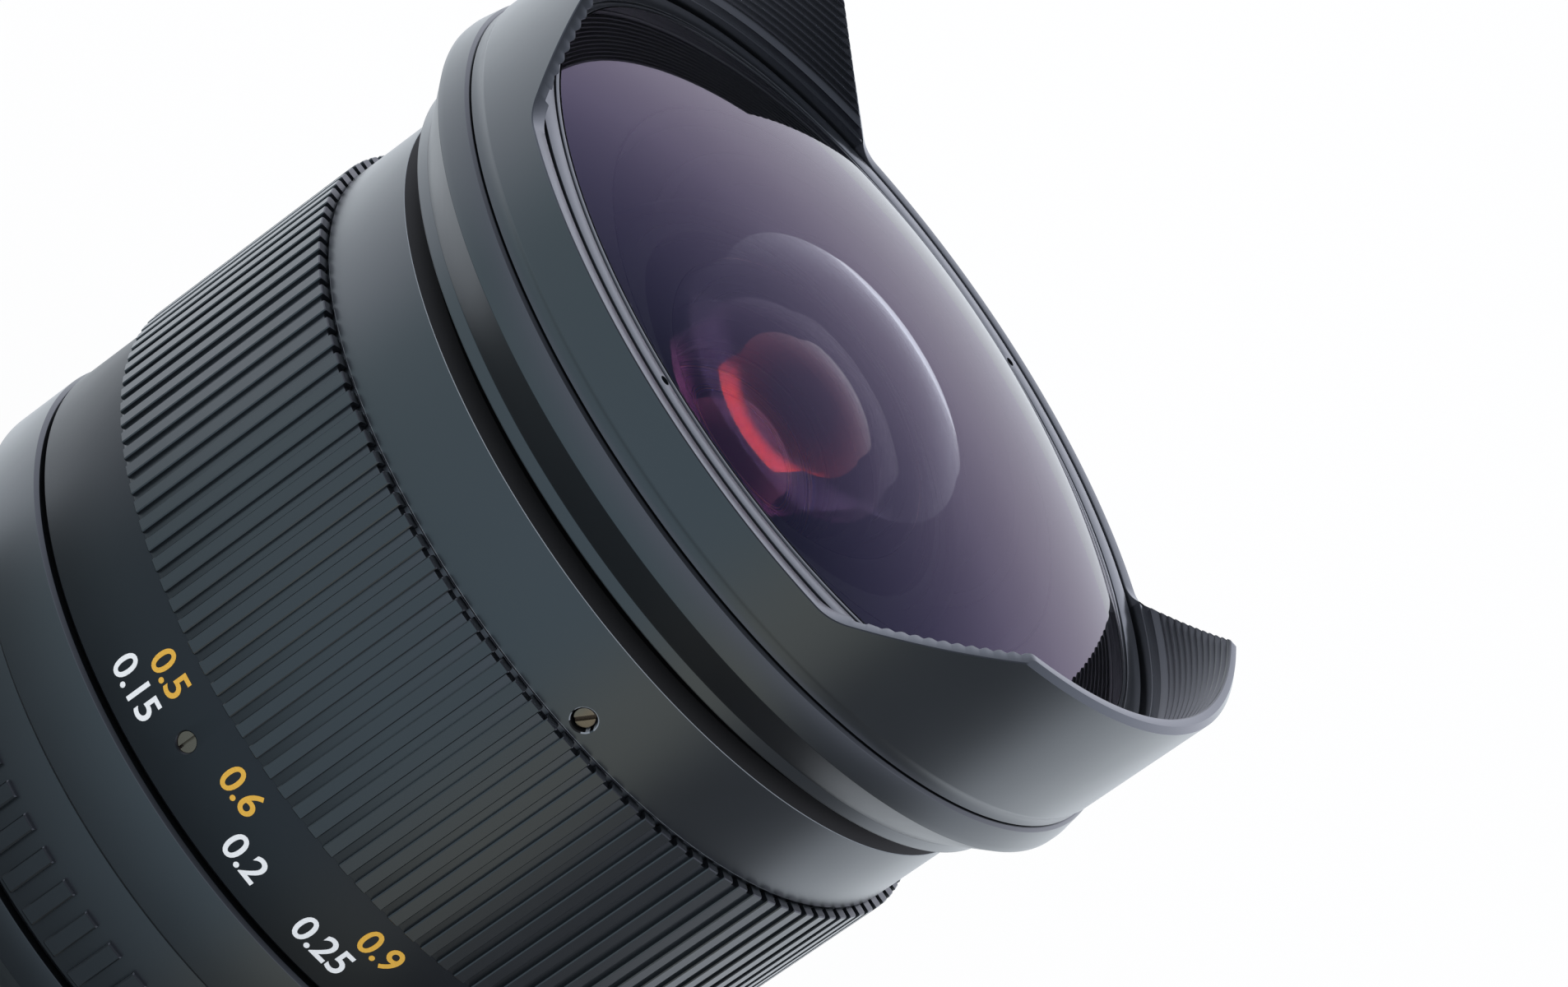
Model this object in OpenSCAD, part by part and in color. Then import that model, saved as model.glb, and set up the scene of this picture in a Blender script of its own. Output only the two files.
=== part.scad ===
// Manual fisheye lens with a two-petal hood and a bayonet mount.
// The optical axis is +Z and the front is up. The lens stands on its rear spigot,
// so the origin is the centre of the spigot's end face. The petals lie at +Y and -Y,
// and the index line is on the -Y side. Focus is at infinity and the iris is open.

/* [Mount] */
// Radius of the clear throat
throat_r = 20.4; // [18:0.1:21]
// Wall of the spigot
spigot_wall = 2.2; // [1.5:0.1:2.6]
// Length of the spigot behind the flange
spigot_len = 5; // [4:0.1:8]
// Height of the three lugs above the spigot
lug_h = 2.4; // [1.5:0.1:2.6]
// Thickness of the lugs along the axis
lug_t = 1.6; // [1:0.1:2]
// Arc of each lug in degrees
lug_arc = 52; // [40:1:70]
// Distance from the lugs to the end of the spigot
lug_setback = 1; // [0.4:0.1:1.2]
// Radius of the mount flange
flange_r = 31; // [30.6:0.1:32]
// Thickness of the mount flange
flange_t = 3; // [2.4:0.1:4]
// Pitch radius of the mount screws
mount_screw_pitch_r = 28.3; // [28:0.1:28.6]
// Radius of the mount screws' shanks
mount_screw_r = 0.85; // [0.6:0.05:1]
// Radius of the hole for the lock pin
lock_hole_r = 1.3; // [1:0.1:1.5]

/* [Rear barrel] */
// Length of the bare rear barrel
rear_len = 5.1; // [4:0.1:8]
// Radius of the bare rear barrel's front edge
rear_r = 32.8; // [32:0.1:34]
// Wall of the hub under the aperture ring
hub_wall = 3.4; // [3.2:0.1:3.8]
// Radius of the red mounting dot
dot_r = 0.9; // [0.6:0.1:1.2]
// Thickness of the rear light baffle
baffle_t = 1.2; // [0.8:0.1:1.6]
// Width of the baffle's window
baffle_w = 32; // [28:0.5:34]
// Height of the baffle's window
baffle_h = 22; // [18:0.5:24]

/* [Aperture ring] */
// Length of the aperture ring
aperture_len = 9.1; // [8:0.1:12]
// Wall of the aperture ring under its ribs
aperture_wall = 3.4; // [3:0.1:4]
// Length of its ribbed grip
grip_len = 4.4; // [3:0.1:5]
// Number of ribs on its grip
grip_count = 72; // [48:1:96]
// Turn from the widest to the smallest stop in degrees
aperture_turn = 45; // [30:1:46]
// Radius of the click ball
ball_r = 1; // [0.8:0.05:1.2]
// Depth of the click notches
notch_depth = 0.3; // [0.2:0.05:0.4]
// Number of click stops
click_count = 6; // [4:1:9]

/* [Guide barrel] */
// Radius of the guide barrel's bore
guide_r = 28.4; // [28.2:0.1:28.8]
// Wall of the guide barrel
guide_wall = 2.1; // [1.8:0.1:2.4]
// Length of the fixed index ring's seat
index_len = 6.3; // [5:0.1:9]
// Wall of the index ring
index_wall = 2; // [1.5:0.1:2.4]

/* [Focus ring] */
// Wall of the cam sleeve
sleeve_wall = 2.62; // [2.4:0.01:3]
// Wall of the focus ring under its ribs
focus_wall = 1.2; // [0.8:0.1:1.6]
// Height of the ribs
rib_h = 0.5; // [0.3:0.05:0.7]
// Number of ribs
rib_count = 120; // [90:1:140]
// Share of the pitch that a rib's land takes
rib_share = 0.6; // [0.45:0.01:0.65]
// Length of the smooth band that carries the scale
scale_len = 8.5; // [7:0.1:12]
// Length of the ribs
rib_len = 20.3; // [16:0.1:24]
// Turn from infinity to the closest distance in degrees
focus_turn = 110; // [80:1:112]
// Travel of the optical unit over that turn
focus_travel = 1.1; // [0.6:0.05:1.4]
// Radius of the follower pins
pin_r = 1.5; // [1.2:0.05:1.6]
// Depth of the sloping grooves in the cam sleeve
groove_depth = 1.7; // [1.2:0.1:2]

/* [Front ring] */
// Groove between the ribs and the front ring
groove_len = 0.15; // [0.1:0.05:1.5]
// Length of the front ring
ring_len = 8.7; // [7:0.05:10]
// Chamfer at its front edge
ring_chamfer = 1.1; // [0.4:0.1:1.5]
// Wall of the front ring
ring_wall = 3.6; // [3.4:0.1:4]
// Depth of its socket on the guide barrel
ring_socket = 3.55; // [3.2:0.05:4]
// Radius of its set screws
set_screw_r = 1; // [0.8:0.05:1.2]
// Distance from its rear edge to the set screws
set_screw_z = 1.6; // [1.5:0.05:1.9]
// Place of the first set screw round the ring in degrees
set_screw_angle = 210.2; // [190:0.1:230]

/* [Front glass] */
// Radius of the front element's edge
element_r = 34; // [33.7:0.1:34.2]
// Radius of the dome's edge inside the retaining ring
dome_edge_r = 33.3; // [32.8:0.1:33.4]
// Rise of the dome
dome_rise = 6.25; // [5:0.05:6.8]
// Height of the dome's edge above the low rim
dome_proud = 0.08; // [0.04:0.02:0.6]
// Radius of the hollow in the back
hollow_r = 22.2; // [21.4:0.1:23]
// Depth of the hollow in the back
hollow_depth = 12.5; // [11.6:0.1:12.8]
// Thickness of the retaining ring
retainer_t = 1.85; // [1.5:0.05:2.2]
// Radius of the spanner holes in the retaining ring
spanner_r = 0.4; // [0.3:0.05:0.5]
// Place of the first spanner hole round the ring in degrees
spanner_angle = 182.4; // [170:0.1:195]

/* [Hood] */
// Gap between the front ring and the front barrel's collar
hood_gap = 1.15; // [0.8:0.05:3]
// Length of the collar
collar_len = 1.2; // [0.8:0.1:1.8]
// Step from the cup out to the collar
collar_step = 0.4; // [0.3:0.05:0.8]
// Wall of the cup that holds the front element
cup_wall = 0.58; // [0.5:0.02:0.8]
// Thickness of the cup's floor
cup_floor = 1.7; // [1.4:0.1:2]
// Length of the tapered rear face of the hood base
taper_len = 3.5; // [2.5:0.1:4.5]
// Length of the band from the widest edge to the seam
band_len = 2.6; // [2:0.1:3.5]
// Step from the petals out to the widest edge
band_step = 0.55; // [0.3:0.05:0.9]
// Width of the shelf round the retaining ring
shelf_w = 1.03; // [0.7:0.01:1.3]
// Wall of the petals
hood_wall = 1.4; // [1.2:0.05:1.8]
// Length of the hood from the seam to the low rim
low_len = 5.1; // [4.6:0.1:6]
// Length of the petals above the low rim
petal_len = 8.3; // [7:0.1:11]
// Angle from the middle of the cut to the foot of its slope, in degrees
cut_foot = 35.4; // [32:0.1:38]
// Angle from the middle of the cut to the head of its slope, in degrees
cut_head = 55.6; // [52:0.1:58]
// Radius at the foot of the slope
cut_corner = 5; // [2:0.1:6]
// Chamfer round the petals' tips
tip_edge = 0.45; // [0.2:0.05:0.6]
// Step from the bore up to the petals' inside
petal_step = 0.25; // [0.1:0.05:0.4]
// Pitch of the light-trap grooves inside the petals
trap_pitch = 0.57; // [0.4:0.01:0.8]
// Depth of the light-trap grooves
trap_depth = 0.3; // [0.2:0.05:0.5]

/* [Inner optics] */
// Radius of the second element's edge
second_r = 20.5; // [20:0.1:21]
// Thickness of the second element's edge
second_edge = 3.5; // [3:0.1:3.9]
// Radius of the third element's edge
third_r = 12.5; // [12:0.1:13]
// Thickness of the third element's edge
third_edge = 2.5; // [2:0.1:3]
// Radius of the rear elements' edges
rear_element_r = 10.5; // [10:0.1:11]
// Wall of the cells that hold the inner elements
cell_wall = 2; // [1.6:0.1:2.4]
// Thickness of the inner retaining rings
inner_ring_t = 1.4; // [1.2:0.1:1.5]
// Length of the spacer tube in the rear cell
spacer_len = 5; // [3:0.1:6]

/* [Iris] */
// Number of blades
blade_count = 7; // [5:1:8]
// Radius of the clear opening
stop_r = 10.2; // [9.6:0.1:10.4]
// Width of a blade's band
blade_w = 4.9; // [4.4:0.1:5.1]
// Thickness of a blade
blade_t = 0.15; // [0.1:0.01:0.17]
// Step along the axis from one blade to the next
blade_step = 0.24; // [0.22:0.01:0.26]
// Radius of the circle of pivots
pivot_r = 18.2; // [18:0.1:18.4]
// Radius of the pivot and drive pins
blade_pin_r = 0.5; // [0.4:0.05:0.55]
// Swing of a blade from open to closed in degrees
blade_swing = 27; // [20:0.5:27]
// Arc from a blade's pivot back to its drive pin in degrees
drive_back = 13; // [12:0.5:14]
// Thickness of the plates and the cam ring
plate_t = 1.2; // [1:0.1:1.4]
// Width of the iris lever
lever_w = 3; // [2.4:0.1:3.4]

/* [Clearances] */
// Radial clearance of running and sliding fits
running = 0.08; // [0.04:0.01:0.1]
// Radial clearance of pieces that are fixed together
fit = 0.02; // [0.01:0.01:0.03]
// Gap between rings that turn against each other
ring_gap = 0.4; // [0.3:0.05:0.6]

/* [Hidden] */
$fn = 96;
over = 1;

// Radii, from the mount outwards
spigot_r = throat_r + spigot_wall;
lug_r = spigot_r + lug_h;
relief_r = lug_r + 0.6;
relief_depth = 0.5;
hub_r = guide_r + 1;
hub_in = hub_r - hub_wall;
aperture_in = hub_r + running;
aperture_r = aperture_in + aperture_wall;
guide_out = guide_r + guide_wall;
seat_step = 0.2;
seat_r = rear_r - seat_step;
index_in = seat_r + fit;
index_r = index_in + index_wall;
sleeve_in = guide_out + running;
sleeve_r = sleeve_in + sleeve_wall;
floor_r = sleeve_r + focus_wall;
rib_r = floor_r + rib_h;
ring_in = guide_out + fit;
ring_r = guide_out + ring_wall;
barrel_r = guide_r - running;
barrel_wall = 2;
barrel_in = barrel_r - barrel_wall;
neck_r = ring_in + 0.1;
ring_bore = neck_r + 0.6;
cup_in = element_r + fit;
cup_r = cup_in + cup_wall;
hood_thread = cup_r + fit;
collar_r = cup_r + collar_step;
retainer_r = cup_r + collar_step;
retainer_in = dome_edge_r + 0.12;
hood_bore = retainer_r + fit + shelf_w;
petal_bore = hood_bore + petal_step;
hood_r = hood_bore + hood_wall;
base_r = hood_r + band_step;

// Heights, from the rear to the front
flange_z = spigot_len;
rear_z = flange_z + flange_t;
hub_z = rear_z + rear_len;
aperture_z = hub_z + ring_gap;
guide_z = aperture_z + aperture_len + ring_gap;
guide_seat = guide_z + index_len;
focus_z = guide_seat + ring_gap / 2;
rib_z = focus_z + scale_len;
rib_end = rib_z + rib_len;
ring_z = rib_end + groove_len;
guide_top = ring_z + ring_socket;
ring_end = ring_z + ring_len;
neck_z = guide_top + 0.6;
collar_z = ring_end + hood_gap;
base_z = collar_z + collar_len;
edge_z = base_z + taper_len;
seam_z = edge_z + band_len;
low_z = seam_z + low_len;
tip_z = low_z + petal_len;
element_z = base_z + cup_floor;
retainer_z = low_z - retainer_t - 0.05;
cup_top = retainer_z - 0.1;
dome_z = low_z + dome_proud;
shelf_z = low_z - 1.1;

// Focus cam: the grooves lie in planes tilted about the radius at their middle
follow_z = rib_z + 8;
pin_end = sleeve_in + groove_depth - 0.2;
groove_mid_r = sleeve_in + groove_depth / 2;
groove_tilt = atan(focus_travel / 2 / (groove_mid_r * sin(focus_turn / 2)));
pin_slack = 0.08;
pin_arc = asin((pin_r + pin_slack) / sleeve_in);
pin_angles = [30, 150, 270];

// Inner optics
bulkhead_z = neck_z - 2.1;
second_z = neck_z + 0.9;
second_top = second_z + second_edge;
second_lip = second_r - 2.5;
cell_z = bulkhead_z - 1.8;
cell_r = third_r + fit + cell_wall;
cell_flange_r = barrel_in - 2.4;
cell_screw_r = (cell_flange_r + cell_r) / 2 + 1.6;
third_z = cell_z - 6.7;
third_top = third_z + third_edge;

// Iris, from its base plate to the rear
iris_z = follow_z + 1;
blade_room = blade_step * 8 + 0.1;
cam_top = iris_z - blade_room;
cam_t = plate_t + 0.8;
cam_z = cam_top - cam_t;
cover_top = cam_z - 0.1;
cover_z = cover_top - plate_t;
rear_flange_z = cover_z - plate_t - 0.2;
blade_in = stop_r + 0.1;
blade_out = blade_in + blade_w;
cam_r = pivot_r + 4.3;
iris_wall_in = cam_r + running + 0.02;
iris_wall_r = iris_wall_in + 1.6;
lever_in = iris_wall_r + 0.5;
lever_t = 1;
lever_out = lever_in + lever_t;
lever_angle = 57.5;
lever_z = aperture_z + 3.5;
lever_h = 2;
lever_top = cam_top + 0.6;
fork_wall = 1.6;
fork_r = lever_out + 0.3;
slot_slack = 0.06;
drive_ratio = blade_swing / aperture_turn;

// Rear cell, from the iris to the rear
rear_cell_r = rear_element_r + fit + cell_wall + 0.5;
crown_front = 2.4;
crown_z = rear_flange_z - 5.1;
crown_edge = 2;
flint_edge = 5.6;
flint_z = crown_z - flint_edge;
spacer_z = flint_z - spacer_len;
rear_edge = 3;
rear_element_z = spacer_z - rear_edge;
rear_ring_z = rear_element_z - inner_ring_t;
rear_cell_z = rear_ring_z - 0.5;
shoulder = 0.7;

black = "#2a2f33";
dark = "#1b1e21";
steel = "#b9bec4";
glass = "#6d6488";

// Plain ring between two heights
module tube(r_out, r_in, z0, z1) {
    difference() {
        translate([0, 0, z0]) cylinder(r = r_out, h = z1 - z0);
        translate([0, 0, z0 - over]) cylinder(r = r_in, h = z1 - z0 + 2 * over);
    }
}

// Part of a ring, centred on an angle
module arc_tube(r_out, r_in, z0, z1, mid, arc) {
    rotate([0, 0, mid - arc / 2]) rotate_extrude(angle = arc)
        translate([r_in, z0]) square([r_out - r_in, z1 - z0]);
}

// Pin or hole along a radius
module radial(r0, r1, pin, z, angle) {
    rotate([0, 0, angle]) translate([r0, 0, z]) rotate([0, 90, 0]) cylinder(r = pin, h = r1 - r0);
}

// Copies children round the axis
module around(count, first = 0) {
    for (i = [0:count - 1]) rotate([0, 0, first + 360 * i / count]) children();
}

// Screw along +Z whose head is at the bottom
module screw(head_r, head_h, shank_r, length) {
    cylinder(r = head_r, h = head_h);
    cylinder(r = shank_r, h = length);
}

// Ball that crosses its floor in a circle and rises a given height above it
module ball(r, rise) {
    curve_r = (r * r + rise * rise) / (2 * rise);
    translate([0, 0, rise - curve_r]) sphere(r = curve_r);
}

// The part of such a ball that stands above its floor
module cap(r, rise) {
    intersection() {
        ball(r, rise);
        cylinder(r = r + over, h = rise + over);
    }
}

// Ring of flat ribs, from the floor radius up
module ribbed(r_floor, height, count, share, z0, z1) {
    pitch = 360 / count;
    outline = [for (i = [0:count - 1])
        for (p = [[0, r_floor], [0, r_floor + height], [share, r_floor + height], [share, r_floor]])
            p[1] * [cos((i + p[0]) * pitch), sin((i + p[0]) * pitch)]];
    translate([0, 0, z0]) linear_extrude(z1 - z0) polygon(outline);
}

// Mount

module bayonet_mount() {
    color(steel) difference() {
        union() {
            translate([0, 0, flange_z]) cylinder(r = flange_r, h = flange_t);
            cylinder(r = spigot_r, h = spigot_len + over);
            for (i = [0:2])
                arc_tube(lug_r, spigot_r - over, lug_setback, lug_setback + lug_t, 90 + 120 * i, lug_arc);
        }
        translate([0, 0, -over]) cylinder(r = throat_r, h = rear_z + 2 * over);
        tube(relief_r, spigot_r, flange_z - over, flange_z + relief_depth);
        around(4, 30) translate([mount_screw_pitch_r, 0, 0]) mount_screw(fit);
        rotate([0, 0, 45]) translate([relief_r + lock_hole_r + 0.4, 0, flange_z - over])
            cylinder(r = lock_hole_r, h = flange_t + 2 * over);
    }
}

// Countersunk screw, grown by a clearance where it makes its own hole
module mount_screw(grow = 0) {
    head_r = mount_screw_r * 2.1;
    head_h = mount_screw_r * 1.4;
    translate([0, 0, flange_z - grow])
        cylinder(r1 = head_r + 2 * grow, r2 = mount_screw_r + grow, h = head_h + grow);
    translate([0, 0, flange_z]) cylinder(r = mount_screw_r + grow, h = flange_t + 4 + grow);
}

module mount_screws() {
    color(steel) around(4, 30) translate([mount_screw_pitch_r, 0, 0]) mount_screw();
}

module rear_barrel() {
    pocket_r = throat_r + 1.1;
    color(black) difference() {
        rotate_extrude() polygon([
            [pocket_r, rear_z], [flange_r, rear_z], [rear_r, rear_z + rear_len * 0.45], [rear_r, hub_z],
            [hub_r, hub_z], [hub_r, guide_z], [hub_in, guide_z], [hub_in, hub_z + 1.5],
            [throat_r + 0.1, hub_z + 0.2], [throat_r + 0.1, rear_z + baffle_t], [pocket_r, rear_z + baffle_t]]);
        around(4, 30) translate([mount_screw_pitch_r, 0, 0]) mount_screw(fit);
        around(3, 20) barrel_screw(fit, true);
        arc_tube(hub_r + over, hub_in - over, lever_z - 0.6, lever_z + lever_h + 0.6,
            lever_angle + aperture_turn / 2, aperture_turn + 2 * asin((lever_w / 2 + 0.6) / hub_in));
        radial(hub_in + 0.5, hub_r + over, ball_r + 0.05, lever_z + lever_h / 2, 200);
        radial(rear_r - 0.5, rear_r + over, dot_r + fit, hub_z - rear_len * 0.27, 270);
    }
}

module mount_dot() {
    color("#c8202a") radial(rear_r - 0.5, rear_r - 0.02, dot_r, hub_z - rear_len * 0.27, 270);
}

module rear_baffle() {
    color(dark) difference() {
        translate([0, 0, rear_z]) cylinder(r = throat_r + 1.1 - fit, h = baffle_t);
        translate([-baffle_w / 2, -baffle_h / 2, rear_z - over]) cube([baffle_w, baffle_h, baffle_t + 2 * over]);
    }
}

// Screw that holds the guide barrel on the hub, and the hole that it needs
module barrel_screw(grow = 0, hole = false) {
    head_z = guide_z - 3.4;
    translate([(hub_r + hub_in) / 2, 0, hole ? rear_z - over : head_z])
        cylinder(r = 1.2 + grow, h = guide_z - 2 - (hole ? rear_z - over : head_z));
    translate([(hub_r + hub_in) / 2, 0, head_z])
        cylinder(r = 0.7 + grow, h = 3.4 + index_len * 0.6 + grow);
}

module barrel_screws() {
    color(steel) around(3, 20) barrel_screw();
}

module click_ball() {
    color(steel) rotate([0, 0, 200]) translate([hub_r - ball_r + 0.02, 0, lever_z + lever_h / 2]) sphere(r = ball_r);
}

module click_spring() {
    color(steel) difference() {
        radial(hub_in + 0.52, hub_r - 2 * ball_r + 0.2, ball_r * 0.8, lever_z + lever_h / 2, 200);
        radial(hub_in, hub_r, ball_r * 0.5, lever_z + lever_h / 2, 200);
    }
}

// Fixed barrel and rings

module guide_barrel() {
    color(dark) difference() {
        union() {
            tube(seat_r, hub_in + 0.4, guide_z, guide_seat);
            tube(guide_out, guide_r, guide_seat - ring_gap / 2, guide_top);
        }
        around(3, 20) barrel_screw(fit);
        for (a = pin_angles) follower_slot(a);
    }
}

// Straight slot that keeps a follower pin from turning
module follower_slot(angle) {
    for (z = [follow_z, follow_z + focus_travel])
        radial(guide_r - over, guide_out + over, pin_r + running, z, angle);
    rotate([0, 0, angle]) translate([guide_r - over, -pin_r - running, follow_z])
        cube([guide_wall + 2 * over, 2 * (pin_r + running), focus_travel]);
}

module index_ring() {
    edge = 0.3;
    top = guide_seat - ring_gap / 2;
    color("#4a5055") rotate_extrude() polygon([
        [index_in, guide_z], [index_r - edge, guide_z], [index_r, guide_z + edge],
        [index_r, top - edge], [index_r - edge, top], [index_in, top]]);
}

module front_ring() {
    color(black) difference() {
        rotate_extrude() polygon([
            [ring_in, ring_z], [ring_r - 0.35, ring_z], [ring_r, ring_z + 0.3],
            [ring_r, ring_end - ring_chamfer], [ring_r - ring_chamfer, ring_end], [ring_bore, ring_end],
            [ring_bore, guide_top + 0.05], [ring_in, guide_top + 0.05]]);
        around(3, set_screw_angle) radial(ring_in - over, ring_r + over, set_screw_r + fit, ring_z + set_screw_z, 0);
    }
}

// Slotted screws that grip the guide barrel, sunk a little below the surface
module set_screws() {
    top = ring_r - 0.25;
    color(steel) around(3, set_screw_angle) difference() {
        radial(ring_in, top, set_screw_r, ring_z + set_screw_z, 0);
        translate([top - 0.45, -0.14, ring_z + set_screw_z - set_screw_r - over])
            cube([over, 0.28, 2 * (set_screw_r + over)]);
    }
}

// Aperture ring and its lever

module aperture_ring() {
    top = aperture_z + aperture_len;
    grip_top = aperture_z + 0.8 + grip_len;
    click_pitch = aperture_turn / (click_count - 1);
    color(black) difference() {
        union() {
            rotate_extrude() polygon([
                [aperture_in, aperture_z], [aperture_r - 0.4, aperture_z], [aperture_r, aperture_z + 0.4],
                [aperture_r, top - 0.3], [aperture_r - 0.3, top], [aperture_in, top]]);
            rotate([0, 0, lever_angle + 90 / grip_count])
                ribbed(aperture_r - 0.5, 1, grip_count, 0.5, aperture_z + 0.8, grip_top);
        }
        translate([0, 0, aperture_z - over]) cylinder(r = aperture_in, h = aperture_len + 2 * over);
        for (i = [0:click_count - 1]) rotate([0, 0, 200 - i * click_pitch])
            translate([aperture_in + notch_depth - ball_r, 0, aperture_z - over])
                cylinder(r = ball_r, h = aperture_len + 2 * over);
        rotate([0, 0, lever_angle]) translate([aperture_in - over, -lever_w / 2 - fit, lever_z - fit])
            cube([over + 1 + fit, lever_w + 2 * fit, lever_h + 2 * fit]);
        lever_screw_body(fit);
    }
}

// Arm that reaches through the hub, then a bar that runs forward to the iris
module iris_lever() {
    color(steel) difference() {
        rotate([0, 0, lever_angle]) union() {
            translate([lever_in, -lever_w / 2, lever_z])
                cube([aperture_in + 1 - lever_in, lever_w, lever_h]);
            translate([lever_in, -lever_w / 2, lever_z]) cube([lever_t, lever_w, lever_top - lever_z]);
        }
        lever_screw_body(fit);
    }
}

module lever_screw_body(grow = 0) {
    z = lever_z + lever_h / 2;
    radial(aperture_in - 2.4 - grow, aperture_r + (grow > 0 ? over : -0.9), 0.5 + grow, z, lever_angle);
    radial(aperture_in + 1.6 - grow, aperture_r + (grow > 0 ? over : -0.6), 0.9 + grow, z, lever_angle);
}

module lever_screw() {
    color(steel) lever_screw_body();
}

// Focus ring and its cam sleeve

module focus_ring() {
    edge = 0.25;
    color(black) difference() {
        union() {
            rotate_extrude() polygon([
                [sleeve_r + fit, focus_z], [floor_r - edge, focus_z], [floor_r, focus_z + edge],
                [floor_r, rib_end], [sleeve_r + fit, rib_end]]);
            difference() {
                ribbed(floor_r - 0.3, rib_h + 0.3, rib_count, rib_share, rib_z, rib_end);
                translate([0, 0, rib_z - over]) cylinder(r = floor_r - 0.2, h = rib_len + 2 * over);
            }
        }
        around(3, 64) radial(sleeve_r - over, rib_r + over, 0.8 + fit, focus_z + scale_len / 2, 0);
    }
}

module cam_sleeve() {
    color(dark) difference() {
        tube(sleeve_r, sleeve_in, focus_z - 0.1, ring_z - 0.08);
        for (a = pin_angles) sloping_groove(a);
        around(3, 64) radial(sleeve_r - 1.2, sleeve_r + over, 0.8 + fit, focus_z + scale_len / 2, 0);
    }
}

// Groove that lifts a follower pin as the sleeve turns past it
module sloping_groove(angle) {
    half = pin_r + pin_slack;
    translate([0, 0, follow_z + focus_travel / 2]) rotate([0, 0, angle - focus_turn / 2]) rotate([-groove_tilt, 0, 0])
        arc_tube(sleeve_in + groove_depth, sleeve_in - over, -half, half, 0, focus_turn + 2 * pin_arc);
}

module sleeve_screws() {
    color(steel) around(3, 64) difference() {
        radial(sleeve_r - 1.1, floor_r - 0.2, 0.8, focus_z + scale_len / 2, 0);
        translate([floor_r - 0.6, -0.12, focus_z + scale_len / 2 - 2]) cube([over, 0.24, 4]);
    }
}

// Optical unit: front barrel, hood and front glass

module front_barrel() {
    skirt_z = follow_z - 10;
    inner_r = barrel_in - 1.3;
    iris_lip_r = barrel_in - 2.3;
    iris_lip_z = iris_z + plate_t;
    color(dark) difference() {
        rotate_extrude() polygon([
            [barrel_in, skirt_z], [barrel_r, skirt_z], [barrel_r, neck_z], [neck_r, neck_z],
            [neck_r, collar_z], [collar_r, collar_z], [collar_r, base_z], [cup_r, base_z],
            [cup_r, cup_top], [cup_in, cup_top], [cup_in, element_z], [hollow_r, element_z],
            [hollow_r, second_top + inner_ring_t + 0.2], [second_r + fit, second_top + inner_ring_t + 0.2],
            [second_r + fit, second_z], [second_lip, second_z], [second_lip, bulkhead_z],
            [inner_r, bulkhead_z], [inner_r, iris_lip_z + 2.8], [iris_lip_r, iris_lip_z + 2.8],
            [iris_lip_r, iris_lip_z], [barrel_in, iris_lip_z]]);
        for (a = pin_angles) radial(barrel_in - over, barrel_r + over, pin_r * 0.66 + fit, follow_z, a);
        around(3, 50) translate([cell_screw_r, 0, bulkhead_z - over]) cylinder(r = 0.8 + fit, h = 2 + over);
        around(3, 20) translate([barrel_in - 1.05, 0, iris_lip_z - over]) cylinder(r = 0.6 + fit, h = 2.2 + over);
    }
}

// Shouldered pins, screwed into the barrel's skirt
module follower_pins() {
    color(steel) for (a = pin_angles) {
        radial(barrel_in + 0.1, barrel_r + 0.1, pin_r * 0.66, follow_z, a);
        radial(barrel_r + 0.01, pin_end, pin_r, follow_z, a);
    }
}

module hood_base() {
    color(black) rotate_extrude() polygon([
        [hood_thread, base_z], [collar_r + 0.3, base_z], [base_r, edge_z], [base_r, edge_z + 0.5],
        [base_r - band_step * 0.6, seam_z], [hood_thread, seam_z]]);
}

module petal_hood() {
    trap_top = tip_z - 0.4;
    trap_count = floor((petal_len - 2.2) / trap_pitch);
    trap_z = trap_top - trap_count * trap_pitch;
    traps = [for (i = [0:trap_count - 1])
        for (p = [[0, 0], [trap_depth, 0.5]]) [petal_bore + p[0], trap_top - (i + p[1]) * trap_pitch]];
    color(black) difference() {
        rotate_extrude() polygon(concat(
            [[hood_thread, seam_z], [hood_r - 0.9, seam_z], [hood_r - 0.9, seam_z + 0.15],
             [hood_r - 0.3, seam_z + 0.15], [hood_r - 0.3, seam_z + 0.55], [hood_r, seam_z + 0.75],
             [hood_r, tip_z - tip_edge], [hood_r - tip_edge, tip_z], [petal_bore + 0.15, tip_z]],
            traps,
            [[petal_bore, trap_z], [petal_bore, low_z + 1.4], [hood_bore + 0.45, low_z + 1.4],
             [hood_bore + 0.45, low_z + 0.8], [hood_bore, low_z + 0.8], [hood_bore, shelf_z],
             [retainer_r + fit, shelf_z], [retainer_r + fit, cup_top], [hood_thread, cup_top]]));
        hood_cut();
    }
}

// Cut that leaves the two petals: its four slopes run level along the radius, with round corners at their feet
module hood_cut() {
    middle = (cut_foot + cut_head) / 2;
    run = hood_r * sin((cut_head - cut_foot) / 2);
    slope = atan2(petal_len, 2 * run);
    corner = [-run - cut_corner * tan(slope / 2), cut_corner];
    back = -hood_r * sin(middle) - 1;
    reach = 4;
    foot = [for (i = [0:8]) corner + cut_corner * [sin(slope * i / 8), -cos(slope * i / 8)]];
    head = [[run + reach / tan(slope), petal_len + reach], [back, petal_len + reach], [back, 0]];
    left = concat(foot, head);
    right = [for (i = [len(left) - 1:-1:0]) [-left[i][0], left[i][1]]];
    for (side = [0, 180]) {
        rotate([0, 0, side + middle]) hood_slope(left);
        rotate([0, 0, side - middle]) hood_slope(right);
    }
}

module hood_slope(outline) {
    translate([0, 0, low_z]) rotate([90, 0, 90]) linear_extrude(base_r + over) polygon(outline);
}

module front_element() {
    color(glass, 0.6) difference() {
        union() {
            translate([0, 0, element_z]) cylinder(r = element_r, h = retainer_z - element_z);
            intersection() {
                translate([0, 0, element_z])
                    cylinder(r = dome_edge_r, h = dome_z - element_z + dome_rise + over);
                translate([0, 0, dome_z]) ball(dome_edge_r, dome_rise);
            }
        }
        translate([0, 0, element_z]) ball(hollow_r, hollow_depth);
    }
}

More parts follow.
